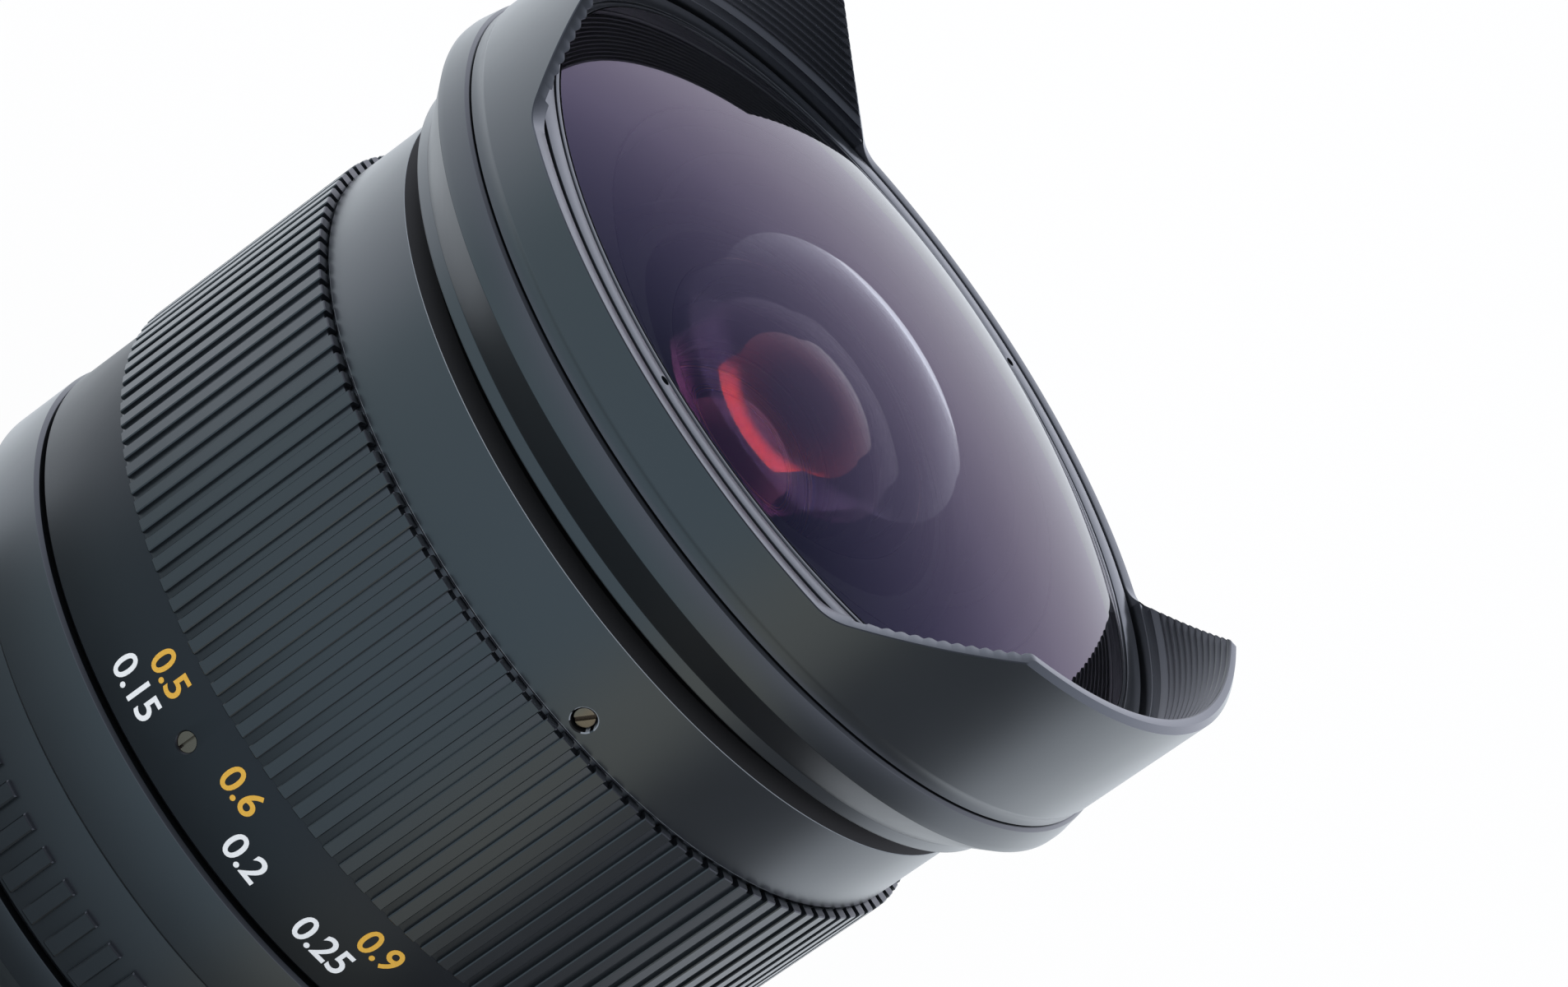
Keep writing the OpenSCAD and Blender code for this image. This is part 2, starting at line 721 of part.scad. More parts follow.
// Ring with a lip that follows the dome, a groove round it, and a flat rim over the hood's shelf
module front_retaining_ring() {
    lip_r = retainer_in + 0.33;
    face_r = lip_r + 0.25;
    rim_r = retainer_r + fit + shelf_w - 0.45;
    foot_z = shelf_z + 0.02;
    groove_z = low_z - 0.3;
    color(black) difference() {
        rotate_extrude() polygon([
            [retainer_in, retainer_z], [retainer_r, retainer_z], [retainer_r, foot_z], [rim_r, foot_z],
            [rim_r, low_z - 0.06], [rim_r - 0.06, low_z], [face_r, low_z], [face_r - 0.03, groove_z],
            [lip_r + 0.03, groove_z], [lip_r, low_z], [retainer_in, low_z + 0.05]]);
        for (a = [spanner_angle, spanner_angle + 180]) rotate([0, 0, a])
            translate([face_r + spanner_r + 0.06, 0, low_z - 0.8]) cylinder(r = spanner_r, h = over);
    }
}

// Inner glass with a flat shoulder round its curved faces
module second_element() {
    color(glass, 0.6) difference() {
        union() {
            translate([0, 0, second_z]) cylinder(r = second_r, h = second_edge);
            translate([0, 0, second_top]) cap(second_r - 1.5, 8);
        }
        translate([0, 0, second_z]) cap(second_lip - 4.5, 7);
        translate([0, 0, second_z - over]) cylinder(r = second_lip - 4.5, h = over);
    }
}

module second_retaining_ring() {
    color(dark) tube(second_r, second_r - 1.2, second_top, second_top + inner_ring_t);
}

module front_cell() {
    color(dark) difference() {
        rotate_extrude() polygon([
            [third_r - 1.2, third_z - 1.5], [cell_r, third_z - 1.5], [cell_r, cell_z], [cell_flange_r, cell_z],
            [cell_flange_r, bulkhead_z], [third_r + fit, bulkhead_z], [third_r + fit, third_z],
            [third_r - 1.2, third_z]]);
        around(3, 50) translate([cell_screw_r, 0, cell_z - over]) cylinder(r = 0.8 + fit, h = 4);
    }
}

module cell_screws() {
    color(steel) around(3, 50) translate([cell_screw_r, 0, cell_z - 1.1]) screw(1.5, 1.1, 0.8, 4.7);
}

module third_element() {
    color(glass, 0.6) union() {
        translate([0, 0, third_z]) cylinder(r = third_r, h = third_edge);
        translate([0, 0, third_top]) cap(third_r - shoulder, 2.4);
        translate([0, 0, third_z]) mirror([0, 0, 1]) cap(third_r - 1.3, 1.4);
    }
}

module third_retaining_ring() {
    color(dark) tube(third_r, third_r - shoulder + 0.05, third_top, third_top + inner_ring_t);
}

// Iris

module iris_base() {
    color(dark) difference() {
        union() {
            tube(barrel_in - fit, stop_r, iris_z, iris_z + plate_t);
            tube(iris_wall_r, iris_wall_in, cover_top, iris_z + plate_t / 2);
        }
        arc_tube(iris_wall_r + over, iris_wall_in - over, cover_top - over, cam_top + 0.3,
            lever_angle + aperture_turn / 2,
            aperture_turn + 2 * asin((lever_w / 2 + slot_slack + fork_wall + 0.5) / iris_wall_in));
        around(blade_count) translate([pivot_r, 0, iris_z - over]) cylinder(r = blade_pin_r + 0.04, h = plate_t + 2 * over);
        around(3, 20) translate([barrel_in - 1.05, 0, iris_z - over]) cylinder(r = 0.6 + fit, h = plate_t + 2 * over);
        around(3, 150) translate([(iris_wall_in + iris_wall_r) / 2, 0, cover_top - over]) cylinder(r = 0.5 + fit, h = 2.5);
    }
}

module iris_base_screws() {
    color(steel) around(3, 20) translate([barrel_in - 1.05, 0, iris_z - 1]) screw(0.95, 1, 0.6, 1 + plate_t + 2.1);
}

module iris_cover() {
    color(dark) difference() {
        tube(iris_wall_r, stop_r, cover_z, cover_top);
        around(3, 150) translate([(iris_wall_in + iris_wall_r) / 2, 0, cover_z - over])
            cylinder(r = 0.5 + fit, h = plate_t + 2 * over);
    }
}

// Place of a blade's drive pin when the aperture ring has turned, seen by the cam ring
function drive_place(turn) =
    let (swing = drive_ratio * turn, arm = pivot_r * [cos(drive_back) - 1, -sin(drive_back)])
    let (x = pivot_r + arm[0] * cos(swing) - arm[1] * sin(swing), y = arm[0] * sin(swing) + arm[1] * cos(swing))
    [x * cos(turn) + y * sin(turn), y * cos(turn) - x * sin(turn)];

// Unit normal of that path
function drive_normal(turn) =
    let (d = drive_place(turn + 0.5) - drive_place(turn - 0.5)) [-d[1], d[0]] / norm(d);

// Curved slot that turns the blades as the cam ring turns
module cam_slot() {
    half = blade_pin_r + slot_slack;
    steps = 16;
    turns = [for (i = [0:steps]) aperture_turn * i / steps];
    outline = concat([for (t = turns) drive_place(t) + half * drive_normal(t)],
        [for (i = [steps:-1:0]) drive_place(turns[i]) - half * drive_normal(turns[i])]);
    translate([0, 0, cam_z - over]) linear_extrude(cam_t + 2 * over) polygon(outline);
    for (t = [0, aperture_turn]) translate([drive_place(t)[0], drive_place(t)[1], cam_z - over])
        cylinder(r = half + 0.02, h = cam_t + 2 * over);
}

module iris_cam_ring() {
    arm_in = cam_r - 0.8;
    gap = lever_w / 2 + slot_slack;
    color(steel) difference() {
        union() {
            tube(cam_r, stop_r, cam_z, cam_top);
            for (side = [-1, 1]) rotate([0, 0, lever_angle])
                translate([arm_in, side > 0 ? gap : -gap - fork_wall, cam_z])
                    cube([fork_r - arm_in, fork_wall, cam_t]);
        }
        around(blade_count) cam_slot();
    }
}

// Thin crescent with a lobe for its pivot, a tail for its drive pin, and both pins
module iris_blade(i) {
    z = cam_top + 0.15 + (i - 1) * blade_step;
    drive = pivot_r * [cos(drive_back), -sin(drive_back)];
    lobe_r = 1.4;
    tail_r = 1.1;
    color("#3a3d40") rotate([0, 0, 360 * (i - 1) / blade_count]) union() {
        translate([0, 0, z]) {
            arc_tube(blade_out, blade_in, 0, blade_t, 45, 102);
            translate([pivot_r, 0, 0]) cylinder(r = lobe_r, h = blade_t);
            translate([drive[0], drive[1], 0]) cylinder(r = tail_r, h = blade_t);
            linear_extrude(blade_t) polygon([
                [blade_out - 1, -1.2], [drive[0] - 0.4, drive[1] - 1], [drive[0] + 1, drive[1] + 0.4],
                [pivot_r + 1.1, -0.6], [pivot_r, 1.3], [blade_out - 1, 3]]);
        }
        translate([pivot_r, 0, z]) cylinder(r = blade_pin_r, h = iris_z + plate_t - 0.2 - z);
        translate([drive[0], drive[1], cam_top - 1.2]) cylinder(r = blade_pin_r, h = z - cam_top + 1.2);
    }
}

// Rear cell and its glass

module rear_cell() {
    color(dark) difference() {
        rotate_extrude() polygon([
            [rear_element_r + fit, rear_cell_z], [rear_cell_r, rear_cell_z], [rear_cell_r, rear_flange_z],
            [iris_wall_r, rear_flange_z], [iris_wall_r, cover_z], [rear_element_r - 0.9, cover_z],
            [rear_element_r - 0.9, crown_z + crown_edge], [rear_element_r + fit, crown_z + crown_edge]]);
        around(3, 150) translate([(iris_wall_in + iris_wall_r) / 2, 0, rear_flange_z - over])
            cylinder(r = 0.5 + fit, h = cover_z - rear_flange_z + 2 * over);
    }
}

module rear_cell_screws() {
    color(steel) around(3, 150) translate([(iris_wall_in + iris_wall_r) / 2, 0, rear_flange_z - 0.8])
        screw(0.9, 0.8, 0.5, cover_top - rear_flange_z + 2.2);
}

module doublet_crown() {
    color(glass, 0.6) union() {
        translate([0, 0, crown_z]) cylinder(r = rear_element_r, h = crown_edge);
        translate([0, 0, crown_z + crown_edge]) cap(rear_element_r - 1, crown_front);
        translate([0, 0, crown_z]) mirror([0, 0, 1]) cap(rear_element_r - shoulder, 3);
    }
}

module doublet_flint() {
    color(glass, 0.6) difference() {
        translate([0, 0, flint_z]) cylinder(r = rear_element_r, h = flint_edge);
        translate([0, 0, crown_z]) mirror([0, 0, 1]) cap(rear_element_r - shoulder, 3);
    }
}

module spacer_tube() {
    color(dark) tube(rear_element_r, rear_element_r - shoulder, spacer_z, flint_z);
}

module rear_element() {
    color(glass, 0.6) union() {
        translate([0, 0, rear_element_z]) cylinder(r = rear_element_r, h = rear_edge);
        translate([0, 0, spacer_z]) cap(rear_element_r - shoulder - 0.1, 1.6);
        translate([0, 0, rear_element_z]) mirror([0, 0, 1]) cap(rear_element_r - shoulder - 0.1, 1.2);
    }
}

module rear_retaining_ring() {
    color(dark) tube(rear_element_r, rear_element_r - shoulder, rear_ring_z, rear_element_z);
}

bayonet_mount();
mount_screws();
mount_dot();
rear_barrel();
rear_baffle();
barrel_screws();
click_ball();
click_spring();
guide_barrel();
index_ring();
front_ring();
set_screws();
aperture_ring();
iris_lever();
lever_screw();
focus_ring();
cam_sleeve();
sleeve_screws();
front_barrel();
follower_pins();
hood_base();
petal_hood();
front_element();
front_retaining_ring();
second_element();
second_retaining_ring();
front_cell();
cell_screws();
third_element();
third_retaining_ring();
iris_base();
iris_base_screws();
iris_cover();
rear_cell();
rear_cell_screws();
doublet_crown();
doublet_flint();
spacer_tube();
rear_element();
rear_retaining_ring();
iris_cam_ring();
for (i = [1:blade_count]) iris_blade(i);
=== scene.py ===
# Looks of the fisheye lens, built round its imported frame.
# Sizes below are millimetres in the part's own frame: +Z is the optical axis and the front is up.
import math

import bmesh
import bpy
from mathutils import Matrix, Vector


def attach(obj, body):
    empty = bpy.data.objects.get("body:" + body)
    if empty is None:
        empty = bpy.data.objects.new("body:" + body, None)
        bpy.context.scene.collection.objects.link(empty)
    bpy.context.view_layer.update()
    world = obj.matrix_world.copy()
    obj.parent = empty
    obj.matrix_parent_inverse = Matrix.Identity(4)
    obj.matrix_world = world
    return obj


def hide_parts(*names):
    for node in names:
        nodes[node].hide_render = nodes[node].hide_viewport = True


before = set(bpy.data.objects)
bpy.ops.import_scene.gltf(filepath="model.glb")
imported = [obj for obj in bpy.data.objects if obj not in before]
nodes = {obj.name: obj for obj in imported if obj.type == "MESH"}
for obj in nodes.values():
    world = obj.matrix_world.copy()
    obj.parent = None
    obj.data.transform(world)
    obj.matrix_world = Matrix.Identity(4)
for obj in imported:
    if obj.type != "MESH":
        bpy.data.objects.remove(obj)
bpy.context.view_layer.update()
scene = bpy.context.scene
MM = 0.001


# Small helpers

def linear(code):
    """sRGB hex colour as linear RGBA."""
    parts = [int(code[i:i + 2], 16) / 255 for i in (1, 3, 5)]
    return [p / 12.92 if p <= 0.04045 else ((p + 0.055) / 1.055) ** 2.4 for p in parts] + [1.0]


def add(tree, kind, inputs=None, **settings):
    """Adds a node with its settings, and sets or links its inputs."""
    node = tree.nodes.new(kind)
    for name, value in settings.items():
        setattr(node, name, value)
    for key, value in (inputs or {}).items():
        if isinstance(value, bpy.types.NodeSocket):
            tree.links.new(value, node.inputs[key])
        else:
            node.inputs[key].default_value = value
    return node


def new_finish(name):
    """Empty node material and its tree."""
    finish = bpy.data.materials.new(name)
    finish.use_nodes = True
    finish.node_tree.nodes.clear()
    return finish, finish.node_tree


def smooth(mesh, angle=25):
    """Smooth shading that keeps the creases sharper than the angle."""
    mesh.shade_smooth()
    mesh.set_sharp_from_angle(angle=math.radians(angle))
    return mesh


def closed_mesh(name, points, faces):
    """Mesh in metres from points in millimetres, with doubles merged and faces turned outwards."""
    mesh = bpy.data.meshes.new(name)
    mesh.from_pydata([Vector(p) * MM for p in points], [], faces)
    work = bmesh.new()
    work.from_mesh(mesh)
    bmesh.ops.remove_doubles(work, verts=work.verts, dist=1e-8)
    bmesh.ops.dissolve_degenerate(work, edges=work.edges, dist=1e-8)
    bmesh.ops.recalc_face_normals(work, faces=work.faces)
    work.to_mesh(mesh)
    work.free()
    return mesh


def eased(outline, radius, steps=3):
    """Closed outline with its corners rounded off."""
    eased_points = []
    count = len(outline)
    for i, point in enumerate(outline):
        p = Vector(point)
        before, after = Vector(outline[i - 1]) - p, Vector(outline[(i + 1) % count]) - p
        corner = before.angle(after)
        if corner > math.radians(165) or p.x < 1e-6:
            eased_points.append(p)
            continue
        trim = min(radius / math.tan(corner / 2), 0.45 * before.length, 0.45 * after.length)
        a, b = p + before.normalized() * trim, p + after.normalized() * trim
        for k in range(steps + 1):
            t = k / steps
            eased_points.append(a * (1 - t) ** 2 + p * 2 * t * (1 - t) + b * t * t)
    return eased_points


def turned(name, outline, steps=360, start=0, sweep=360):
    """Closed outline of (radius, height) turned round the axis, wholly or through a part of a turn."""
    whole = sweep >= 360
    stations = steps if whole else steps + 1
    count = len(outline)
    points, faces = [], []
    for j in range(stations):
        a = math.radians(start + sweep * j / steps)
        points += [(p[0] * math.cos(a), p[0] * math.sin(a), p[1]) for p in outline]
    for j in range(steps):
        k = (j + 1) % stations
        for i in range(count):
            n = (i + 1) % count
            if outline[i][0] + outline[n][0] > 1e-6:
                faces.append((j * count + i, k * count + i, k * count + n, j * count + n))
    if not whole:
        faces.append(tuple(range(count)))
        faces.append(tuple((stations - 1) * count + i for i in range(count)))
    return closed_mesh(name, points, faces)


def dome_curve(edge_r, edge_z, rise, count=48):
    """Points of a ball's profile from its edge to the axis."""
    ball_r = (edge_r ** 2 + rise ** 2) / (2 * abs(rise))
    side = 1 if rise > 0 else -1
    centre = edge_z + rise - side * ball_r
    radii = [edge_r * (1 - k / count) for k in range(count + 1)]
    return [(r, centre + side * math.sqrt(ball_r ** 2 - r * r)) for r in radii]


def piece(name, mesh, body, finish, replaced=(), others=(), picks=None):
    """Shown piece at the origin that rides on a body. The test gives each face the number of its finish."""
    shown = bpy.data.objects.new(name, mesh)
    scene.collection.objects.link(shown)
    mesh.materials.clear()
    for used in (finish, *others):
        mesh.materials.append(used)
    if others:
        for polygon in mesh.polygons:
            polygon.material_index = int(picks(polygon))
    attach(shown, body)
    if replaced:
        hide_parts(*replaced)
    return shown


def looks_down(polygon):
    """Whether a face points to the rear, if only a little."""
    return polygon.normal.z < -0.02


def looks_up(polygon):
    """Whether a face points mostly to the front."""
    return polygon.normal.z > 0.55


def ring_side(polygon):
    """2 on the front ring's bevel and front, matt black that is painted shade under the hood; 1 on its thin edges
    and rear faces, light grey that is painted highlight; 0 on its outside.
    """
    if looks_up(polygon):
        return 2
    return looks_down(polygon) or polygon.normal.z > 0.25


def hood_side(polygon):
    """2 on the hood's inside, a darker copy that is painted shade; 1 on its rim, a lighter copy that is partly
    painted light; 0 on its outside.
    """
    inward = -polygon.normal.xy.dot(polygon.center.xy.normalized())
    return 2 if inward > 0.3 else looks_up(polygon)


def baked(source):
    """Plain mesh of an object as its modifiers show it."""
    shape = source.evaluated_get(bpy.context.evaluated_depsgraph_get())
    mesh = bpy.data.meshes.new_from_object(shape)
    bpy.data.objects.remove(source)
    return mesh


def carved(mesh, cutters):
    """Mesh with the cutter meshes taken out of it."""
    work = bpy.data.objects.new("carving", mesh)
    scene.collection.objects.link(work)
    tools = []
    for cutter in cutters:
        tool = bpy.data.objects.new("cutter", cutter)
        scene.collection.objects.link(tool)
        cut = work.modifiers.new("cut", "BOOLEAN")
        cut.object, cut.operation, cut.solver = tool, "DIFFERENCE", "EXACT"
        tools.append(tool)
    bpy.context.view_layer.update()
    mesh = baked(work)
    for tool in tools:
        bpy.data.objects.remove(tool)
    return mesh


def placed(mesh, angle, radius, height):
    """Mesh made at the origin with +X outwards, set out on a radius."""
    mesh.transform(Matrix.Rotation(math.radians(angle), 4, "Z")
                   @ Matrix.Translation(Vector((radius, 0, height)) * MM))
    return mesh


def joined(name, meshes):
    """One mesh from several."""
    work = bmesh.new()
    for mesh in meshes:
        work.from_mesh(mesh)
    whole = bpy.data.meshes.new(name)
    work.to_mesh(whole)
    work.free()
    return whole


# Copies of one shape set out round the axis

def round_axis_tree():
    """Tree that sets copies of a shape on a circle, each turned outwards."""
    tree = bpy.data.node_groups.new("set_round_axis", "GeometryNodeTree")
    face = tree.interface
    face.new_socket("Shape", in_out="INPUT", socket_type="NodeSocketObject")
    face.new_socket("Count", in_out="INPUT", socket_type="NodeSocketInt")
    face.new_socket("Radius", in_out="INPUT", socket_type="NodeSocketFloat")
    face.new_socket("Height", in_out="INPUT", socket_type="NodeSocketFloat")
    face.new_socket("First angle", in_out="INPUT", socket_type="NodeSocketFloat")
    face.new_socket("Finish", in_out="INPUT", socket_type="NodeSocketMaterial")
    face.new_socket("Geometry", in_out="OUTPUT", socket_type="NodeSocketGeometry")
    given = add(tree, "NodeGroupInput").outputs
    ring = add(tree, "GeometryNodeMeshCircle", {"Vertices": given["Count"], "Radius": given["Radius"]})
    share = add(tree, "ShaderNodeMath", {0: math.tau, 1: given["Count"]}, operation="DIVIDE")
    index = add(tree, "GeometryNodeInputIndex")
    turn = add(tree, "ShaderNodeMath", {0: index.outputs[0], 1: share.outputs[0]}, operation="MULTIPLY")
    spin = add(tree, "ShaderNodeCombineXYZ", {"Z": turn.outputs[0]})
    shape = add(tree, "GeometryNodeObjectInfo", {"Object": given["Shape"]})
    copies = add(tree, "GeometryNodeInstanceOnPoints", {
        "Points": ring.outputs["Mesh"], "Instance": shape.outputs["Geometry"], "Rotation": spin.outputs[0]})
    real = add(tree, "GeometryNodeRealizeInstances", {0: copies.outputs[0]})
    lift = add(tree, "ShaderNodeCombineXYZ", {"Z": given["Height"]})
    phase = add(tree, "ShaderNodeCombineXYZ", {"Z": given["First angle"]})
    move = add(tree, "GeometryNodeTransform", {
        "Geometry": real.outputs[0], "Translation": lift.outputs[0], "Rotation": phase.outputs[0]})
    paint = add(tree, "GeometryNodeSetMaterial", {"Geometry": move.outputs[0], "Material": given["Finish"]})
    add(tree, "NodeGroupOutput", {0: paint.outputs[0]})
    return tree


ROUND_AXIS = round_axis_tree()


def set_round(name, shape, count, radius, height, first, finish):
    """Mesh of copies of a shape round the axis. The shape is made at the origin with +X outwards."""
    pattern = bpy.data.objects.new(name + "_pattern", shape)
    holder = bpy.data.objects.new(name, bpy.data.meshes.new(name))
    for made in (pattern, holder):
        scene.collection.objects.link(made)
    wrap = holder.modifiers.new("round", "NODES")
    wrap.node_group = ROUND_AXIS
    values = {"Shape": pattern, "Count": count, "Radius": radius * MM, "Height": height * MM,
              "First angle": math.radians(first), "Finish": finish}
    for item in ROUND_AXIS.interface.items_tree:
        if item.in_out == "INPUT":
            wrap[item.identifier] = values[item.name]
    bpy.context.view_layer.update()
    mesh = baked(holder)
    mesh.name = name
    bpy.data.objects.remove(pattern)
    return mesh


# Finishes. Grain and turning lines are drawn about twice their real size, so that they show.

def black_anodised(name, deep, pale, roughness, ior, seal, grain_mm, grain_depth):
    """Dyed anodised aluminium: a satin black with a faint blasted grain. Its clear seal makes the edges pale."""
    finish, tree = new_finish(name)
    place = add(tree, "ShaderNodeTexCoord").outputs["Object"]
    grain = add(tree, "ShaderNodeTexNoise", {"Vector": place, "Scale": 1 / (grain_mm * MM), "Detail": 2.0})
    cloud = add(tree, "ShaderNodeTexNoise", {"Vector": place, "Scale": 1 / (7 * MM), "Detail": 3.0})
    colour = add(tree, "ShaderNodeMix", {0: cloud.outputs["Fac"], 6: linear(deep), 7: linear(pale)},
                 data_type="RGBA")
    gloss = add(tree, "ShaderNodeMapRange", {
        "Value": cloud.outputs["Fac"], "From Min": 0.3, "From Max": 0.7,
        "To Min": roughness - 0.03, "To Max": roughness + 0.03})
    bump = add(tree, "ShaderNodeBump", {
        "Height": grain.outputs["Fac"], "Strength": 1.0, "Distance": grain_depth * MM})
    shader = add(tree, "ShaderNodeBsdfPrincipled", {
        "Base Color": colour.outputs[2], "Roughness": gloss.outputs[0], "IOR": ior,
        "Specular Tint": linear("#d6e6fb"), "Coat Weight": seal, "Coat Roughness": 0.3, "Coat IOR": 1.5,
        "Normal": bump.outputs[0]})
    add(tree, "ShaderNodeOutputMaterial", {"Surface": shader.outputs[0]})
    return finish


def turned_metal(name, deep, pale, roughness, line_mm):
    """Bare or plated metal off a lathe: fine rings round the axis that spread the highlight."""
    finish, tree = new_finish(name)
    place = add(tree, "ShaderNodeTexCoord").outputs["Object"]
    flat = add(tree, "ShaderNodeVectorMath", {0: place, 1: (1, 1, 0)}, operation="MULTIPLY")
    radius = add(tree, "ShaderNodeVectorMath", {0: flat.outputs[0]}, operation="LENGTH")
    height = add(tree, "ShaderNodeSeparateXYZ", {0: place})
    rings = add(tree, "ShaderNodeCombineXYZ", {"X": radius.outputs["Value"], "Y": height.outputs["Z"]})
    lines = add(tree, "ShaderNodeTexNoise", {
        "Vector": rings.outputs[0], "Scale": 1 / (line_mm * MM), "Detail": 2.0})
    cloud = add(tree, "ShaderNodeTexNoise", {"Vector": place, "Scale": 1 / (5 * MM), "Detail": 3.0})
    colour = add(tree, "ShaderNodeMix", {0: cloud.outputs["Fac"], 6: linear(deep), 7: linear(pale)},
                 data_type="RGBA")
    gloss = add(tree, "ShaderNodeMapRange", {
        "Value": lines.outputs["Fac"], "From Min": 0.3, "From Max": 0.7,
        "To Min": roughness - 0.06, "To Max": roughness + 0.06})
    bump = add(tree, "ShaderNodeBump", {
        "Height": lines.outputs["Fac"], "Strength": 1.0, "Distance": 0.002 * MM})
    shader = add(tree, "ShaderNodeBsdfPrincipled", {
        "Base Color": colour.outputs[2], "Metallic": 1.0, "Roughness": gloss.outputs[0],
        "Normal": bump.outputs[0]})
    add(tree, "ShaderNodeOutputMaterial", {"Surface": shader.outputs[0]})
    return finish


def flat_paint(name, deep, pale, roughness, grain_mm):
    """Sprayed or filled paint: a dry skin with a fine grain."""
    finish, tree = new_finish(name)
    place = add(tree, "ShaderNodeTexCoord").outputs["Object"]
    grain = add(tree, "ShaderNodeTexNoise", {"Vector": place, "Scale": 1 / (grain_mm * MM), "Detail": 2.0})
    colour = add(tree, "ShaderNodeMix", {0: grain.outputs["Fac"], 6: linear(deep), 7: linear(pale)},
                 data_type="RGBA")
    bump = add(tree, "ShaderNodeBump", {
        "Height": grain.outputs["Fac"], "Strength": 1.0, "Distance": 0.004 * MM})
    shader = add(tree, "ShaderNodeBsdfPrincipled", {
        "Base Color": colour.outputs[2], "Roughness": roughness, "IOR": 1.5, "Normal": bump.outputs[0]})
    add(tree, "ShaderNodeOutputMaterial", {"Surface": shader.outputs[0]})
    return finish


def coated_glass(name, ior, coating, film_nm=0, mirror=0.0, deep="#f8f8fa", pale="#ffffff"):
    """Polished optical glass: clear, and its coating tints all that the face mirrors. On the front face a thin film
    holds back green, so what it mirrors is a dim violet; the inner faces show deep red and plum crescents."""
    finish, tree = new_finish(name)
    place = add(tree, "ShaderNodeTexCoord").outputs["Object"]
    melt = add(tree, "ShaderNodeTexNoise", {"Vector": place, "Scale": 1 / (6 * MM), "Detail": 2.0})
    colour = add(tree, "ShaderNodeMix", {0: melt.outputs["Fac"], 6: linear(deep), 7: linear(pale)},
                 data_type="RGBA")
    shader = add(tree, "ShaderNodeBsdfPrincipled", {
        "Base Color": colour.outputs[2], "Metallic": mirror, "Roughness": 0.0, "IOR": ior,
        "Transmission Weight": 1.0, "Specular Tint": linear(coating), "Thin Film Thickness": film_nm,
        "Thin Film IOR": 1.85})
    add(tree, "ShaderNodeOutputMaterial", {"Surface": shader.outputs[0]})
    return finish


SATIN = black_anodised("black_anodised_satin", "#0c0e10", "#121517", 0.31, 1.7, 1.0, 0.12, 0.0010)
# Rim copy on faces that point to the front: its smoother turned finish is real, but its lighter colour and stronger
# reflection are painted light.
RIM_WITH_PAINTED_LIGHT = black_anodised("black_anodised_turned_rim_painted_light", "#14171a", "#1b1f22", 0.2, 2.0, 1.0, 0.12, 0.0006)
# Light grey on the front ring's thin edges is painted highlight, standing for the sheen along them.
PAINTED_EDGE_HIGHLIGHT = flat_paint("painted_edge_highlight", "#8b9298", "#9ba2a8", 0.45, 0.1)
BAND = black_anodised("black_anodised_fine", "#0b0c0e", "#101214", 0.36, 1.45, 0.3, 0.10, 0.0008)
# Darker, duller copy of the satin on the hood's inside and the foot's underside: painted shade.
SHADED_SATIN = black_anodised("black_anodised_painted_shade", "#0b0c0e", "#101214", 0.34, 1.55, 0.5, 0.12, 0.0010)
GRIP = black_anodised("black_anodised_grip", "#0b0d0f", "#111316", 0.34, 1.65, 1.0, 0.12, 0.0010)
# Matt black paint of the inner parts; on the front ring's bevel and front it is painted shade under the hood.
MATT_BLACK_AND_SHADE = flat_paint("matt_black_inside_and_painted_shade", "#08090a", "#0d0e10", 0.62, 0.15)
INK = flat_paint("blackened_glass_edge", "#050505", "#080808", 0.7, 0.15)
WHITE = flat_paint("white_scale_paint", "#eef2f2", "#fbfdfd", 0.5, 0.12)
YELLOW = flat_paint("yellow_scale_paint", "#e2a92c", "#efbd48", 0.5, 0.12)
RED = flat_paint("red_dot_enamel", "#b3141c", "#c81f27", 0.22, 0.2)
STEEL = turned_metal("turned_screw_steel", "#665e55", "#857b70", 0.24, 0.06)
CHROME = turned_metal("satin_mount_chrome", "#b4b7ba", "#c6c9cb", 0.26, 0.07)
BRASS = turned_metal("turned_cam_brass", "#b08a48", "#c49c58", 0.3, 0.07)
BLADES = flat_paint("blackened_blade_steel", "#141516", "#1c1d1f", 0.5, 0.1)
FRONT_GLASS = coated_glass("front_glass_violet_coat", 1.52, "#ffffff", film_nm=168)
HOLLOW_GLASS = coated_glass("front_glass_hollow_coat", 1.56, "#463656")
SECOND_GLASS = coated_glass("second_glass_plum_coat", 1.6, "#7c3a6e")
AMBER_GLASS = coated_glass("second_glass_amber_coat", 1.6, "#ff3c18", deep="#f0e4e4", pale="#fff4f4")
INNER_GLASS = coated_glass("inner_glass_magenta_coat", 1.6, "#ff3088", mirror=0.02, deep="#f4d0e4",
                           pale="#ffe4f2")
REAR_GLASS = coated_glass("inner_glass_green_coat", 1.6, "#3f7058")

# Hood: a ring with two petals, its light-trap grooves and its foot

LOW_Z, TIP_Z = 80.7, 89.0
HOOD_R, HOOD_BORE, PETAL_BORE = 37.45, 36.05, 36.3
CUT_FOOT, CUT_HEAD, CUT_CORNER, HEAD_CORNER = 35.4, 55.6, 5.0, 1.0


def rim_height(turn):
    """Height of the hood's rim at an angle from the middle of the cut. Both ends of the slope are rounded."""
    per = HOOD_R * math.radians(1)
    run = (turn - CUT_FOOT) * per
    rise = (TIP_Z - LOW_Z) / (CUT_HEAD - CUT_FOOT) / per
    lean = math.atan(rise)
    height = run * rise
    for corner, start, side in ((CUT_CORNER, 0, 1), (HEAD_CORNER, (CUT_HEAD - CUT_FOOT) * per, -1)):
        trim = corner * math.tan(lean / 2)
        along = side * (run - start)
        if -trim < along < trim * math.cos(lean):
            height = (0 if side > 0 else TIP_Z - LOW_Z) + side * (
                corner - math.sqrt(corner ** 2 - (along + trim) ** 2))
    return min(max(LOW_Z + height, LOW_Z), TIP_Z)


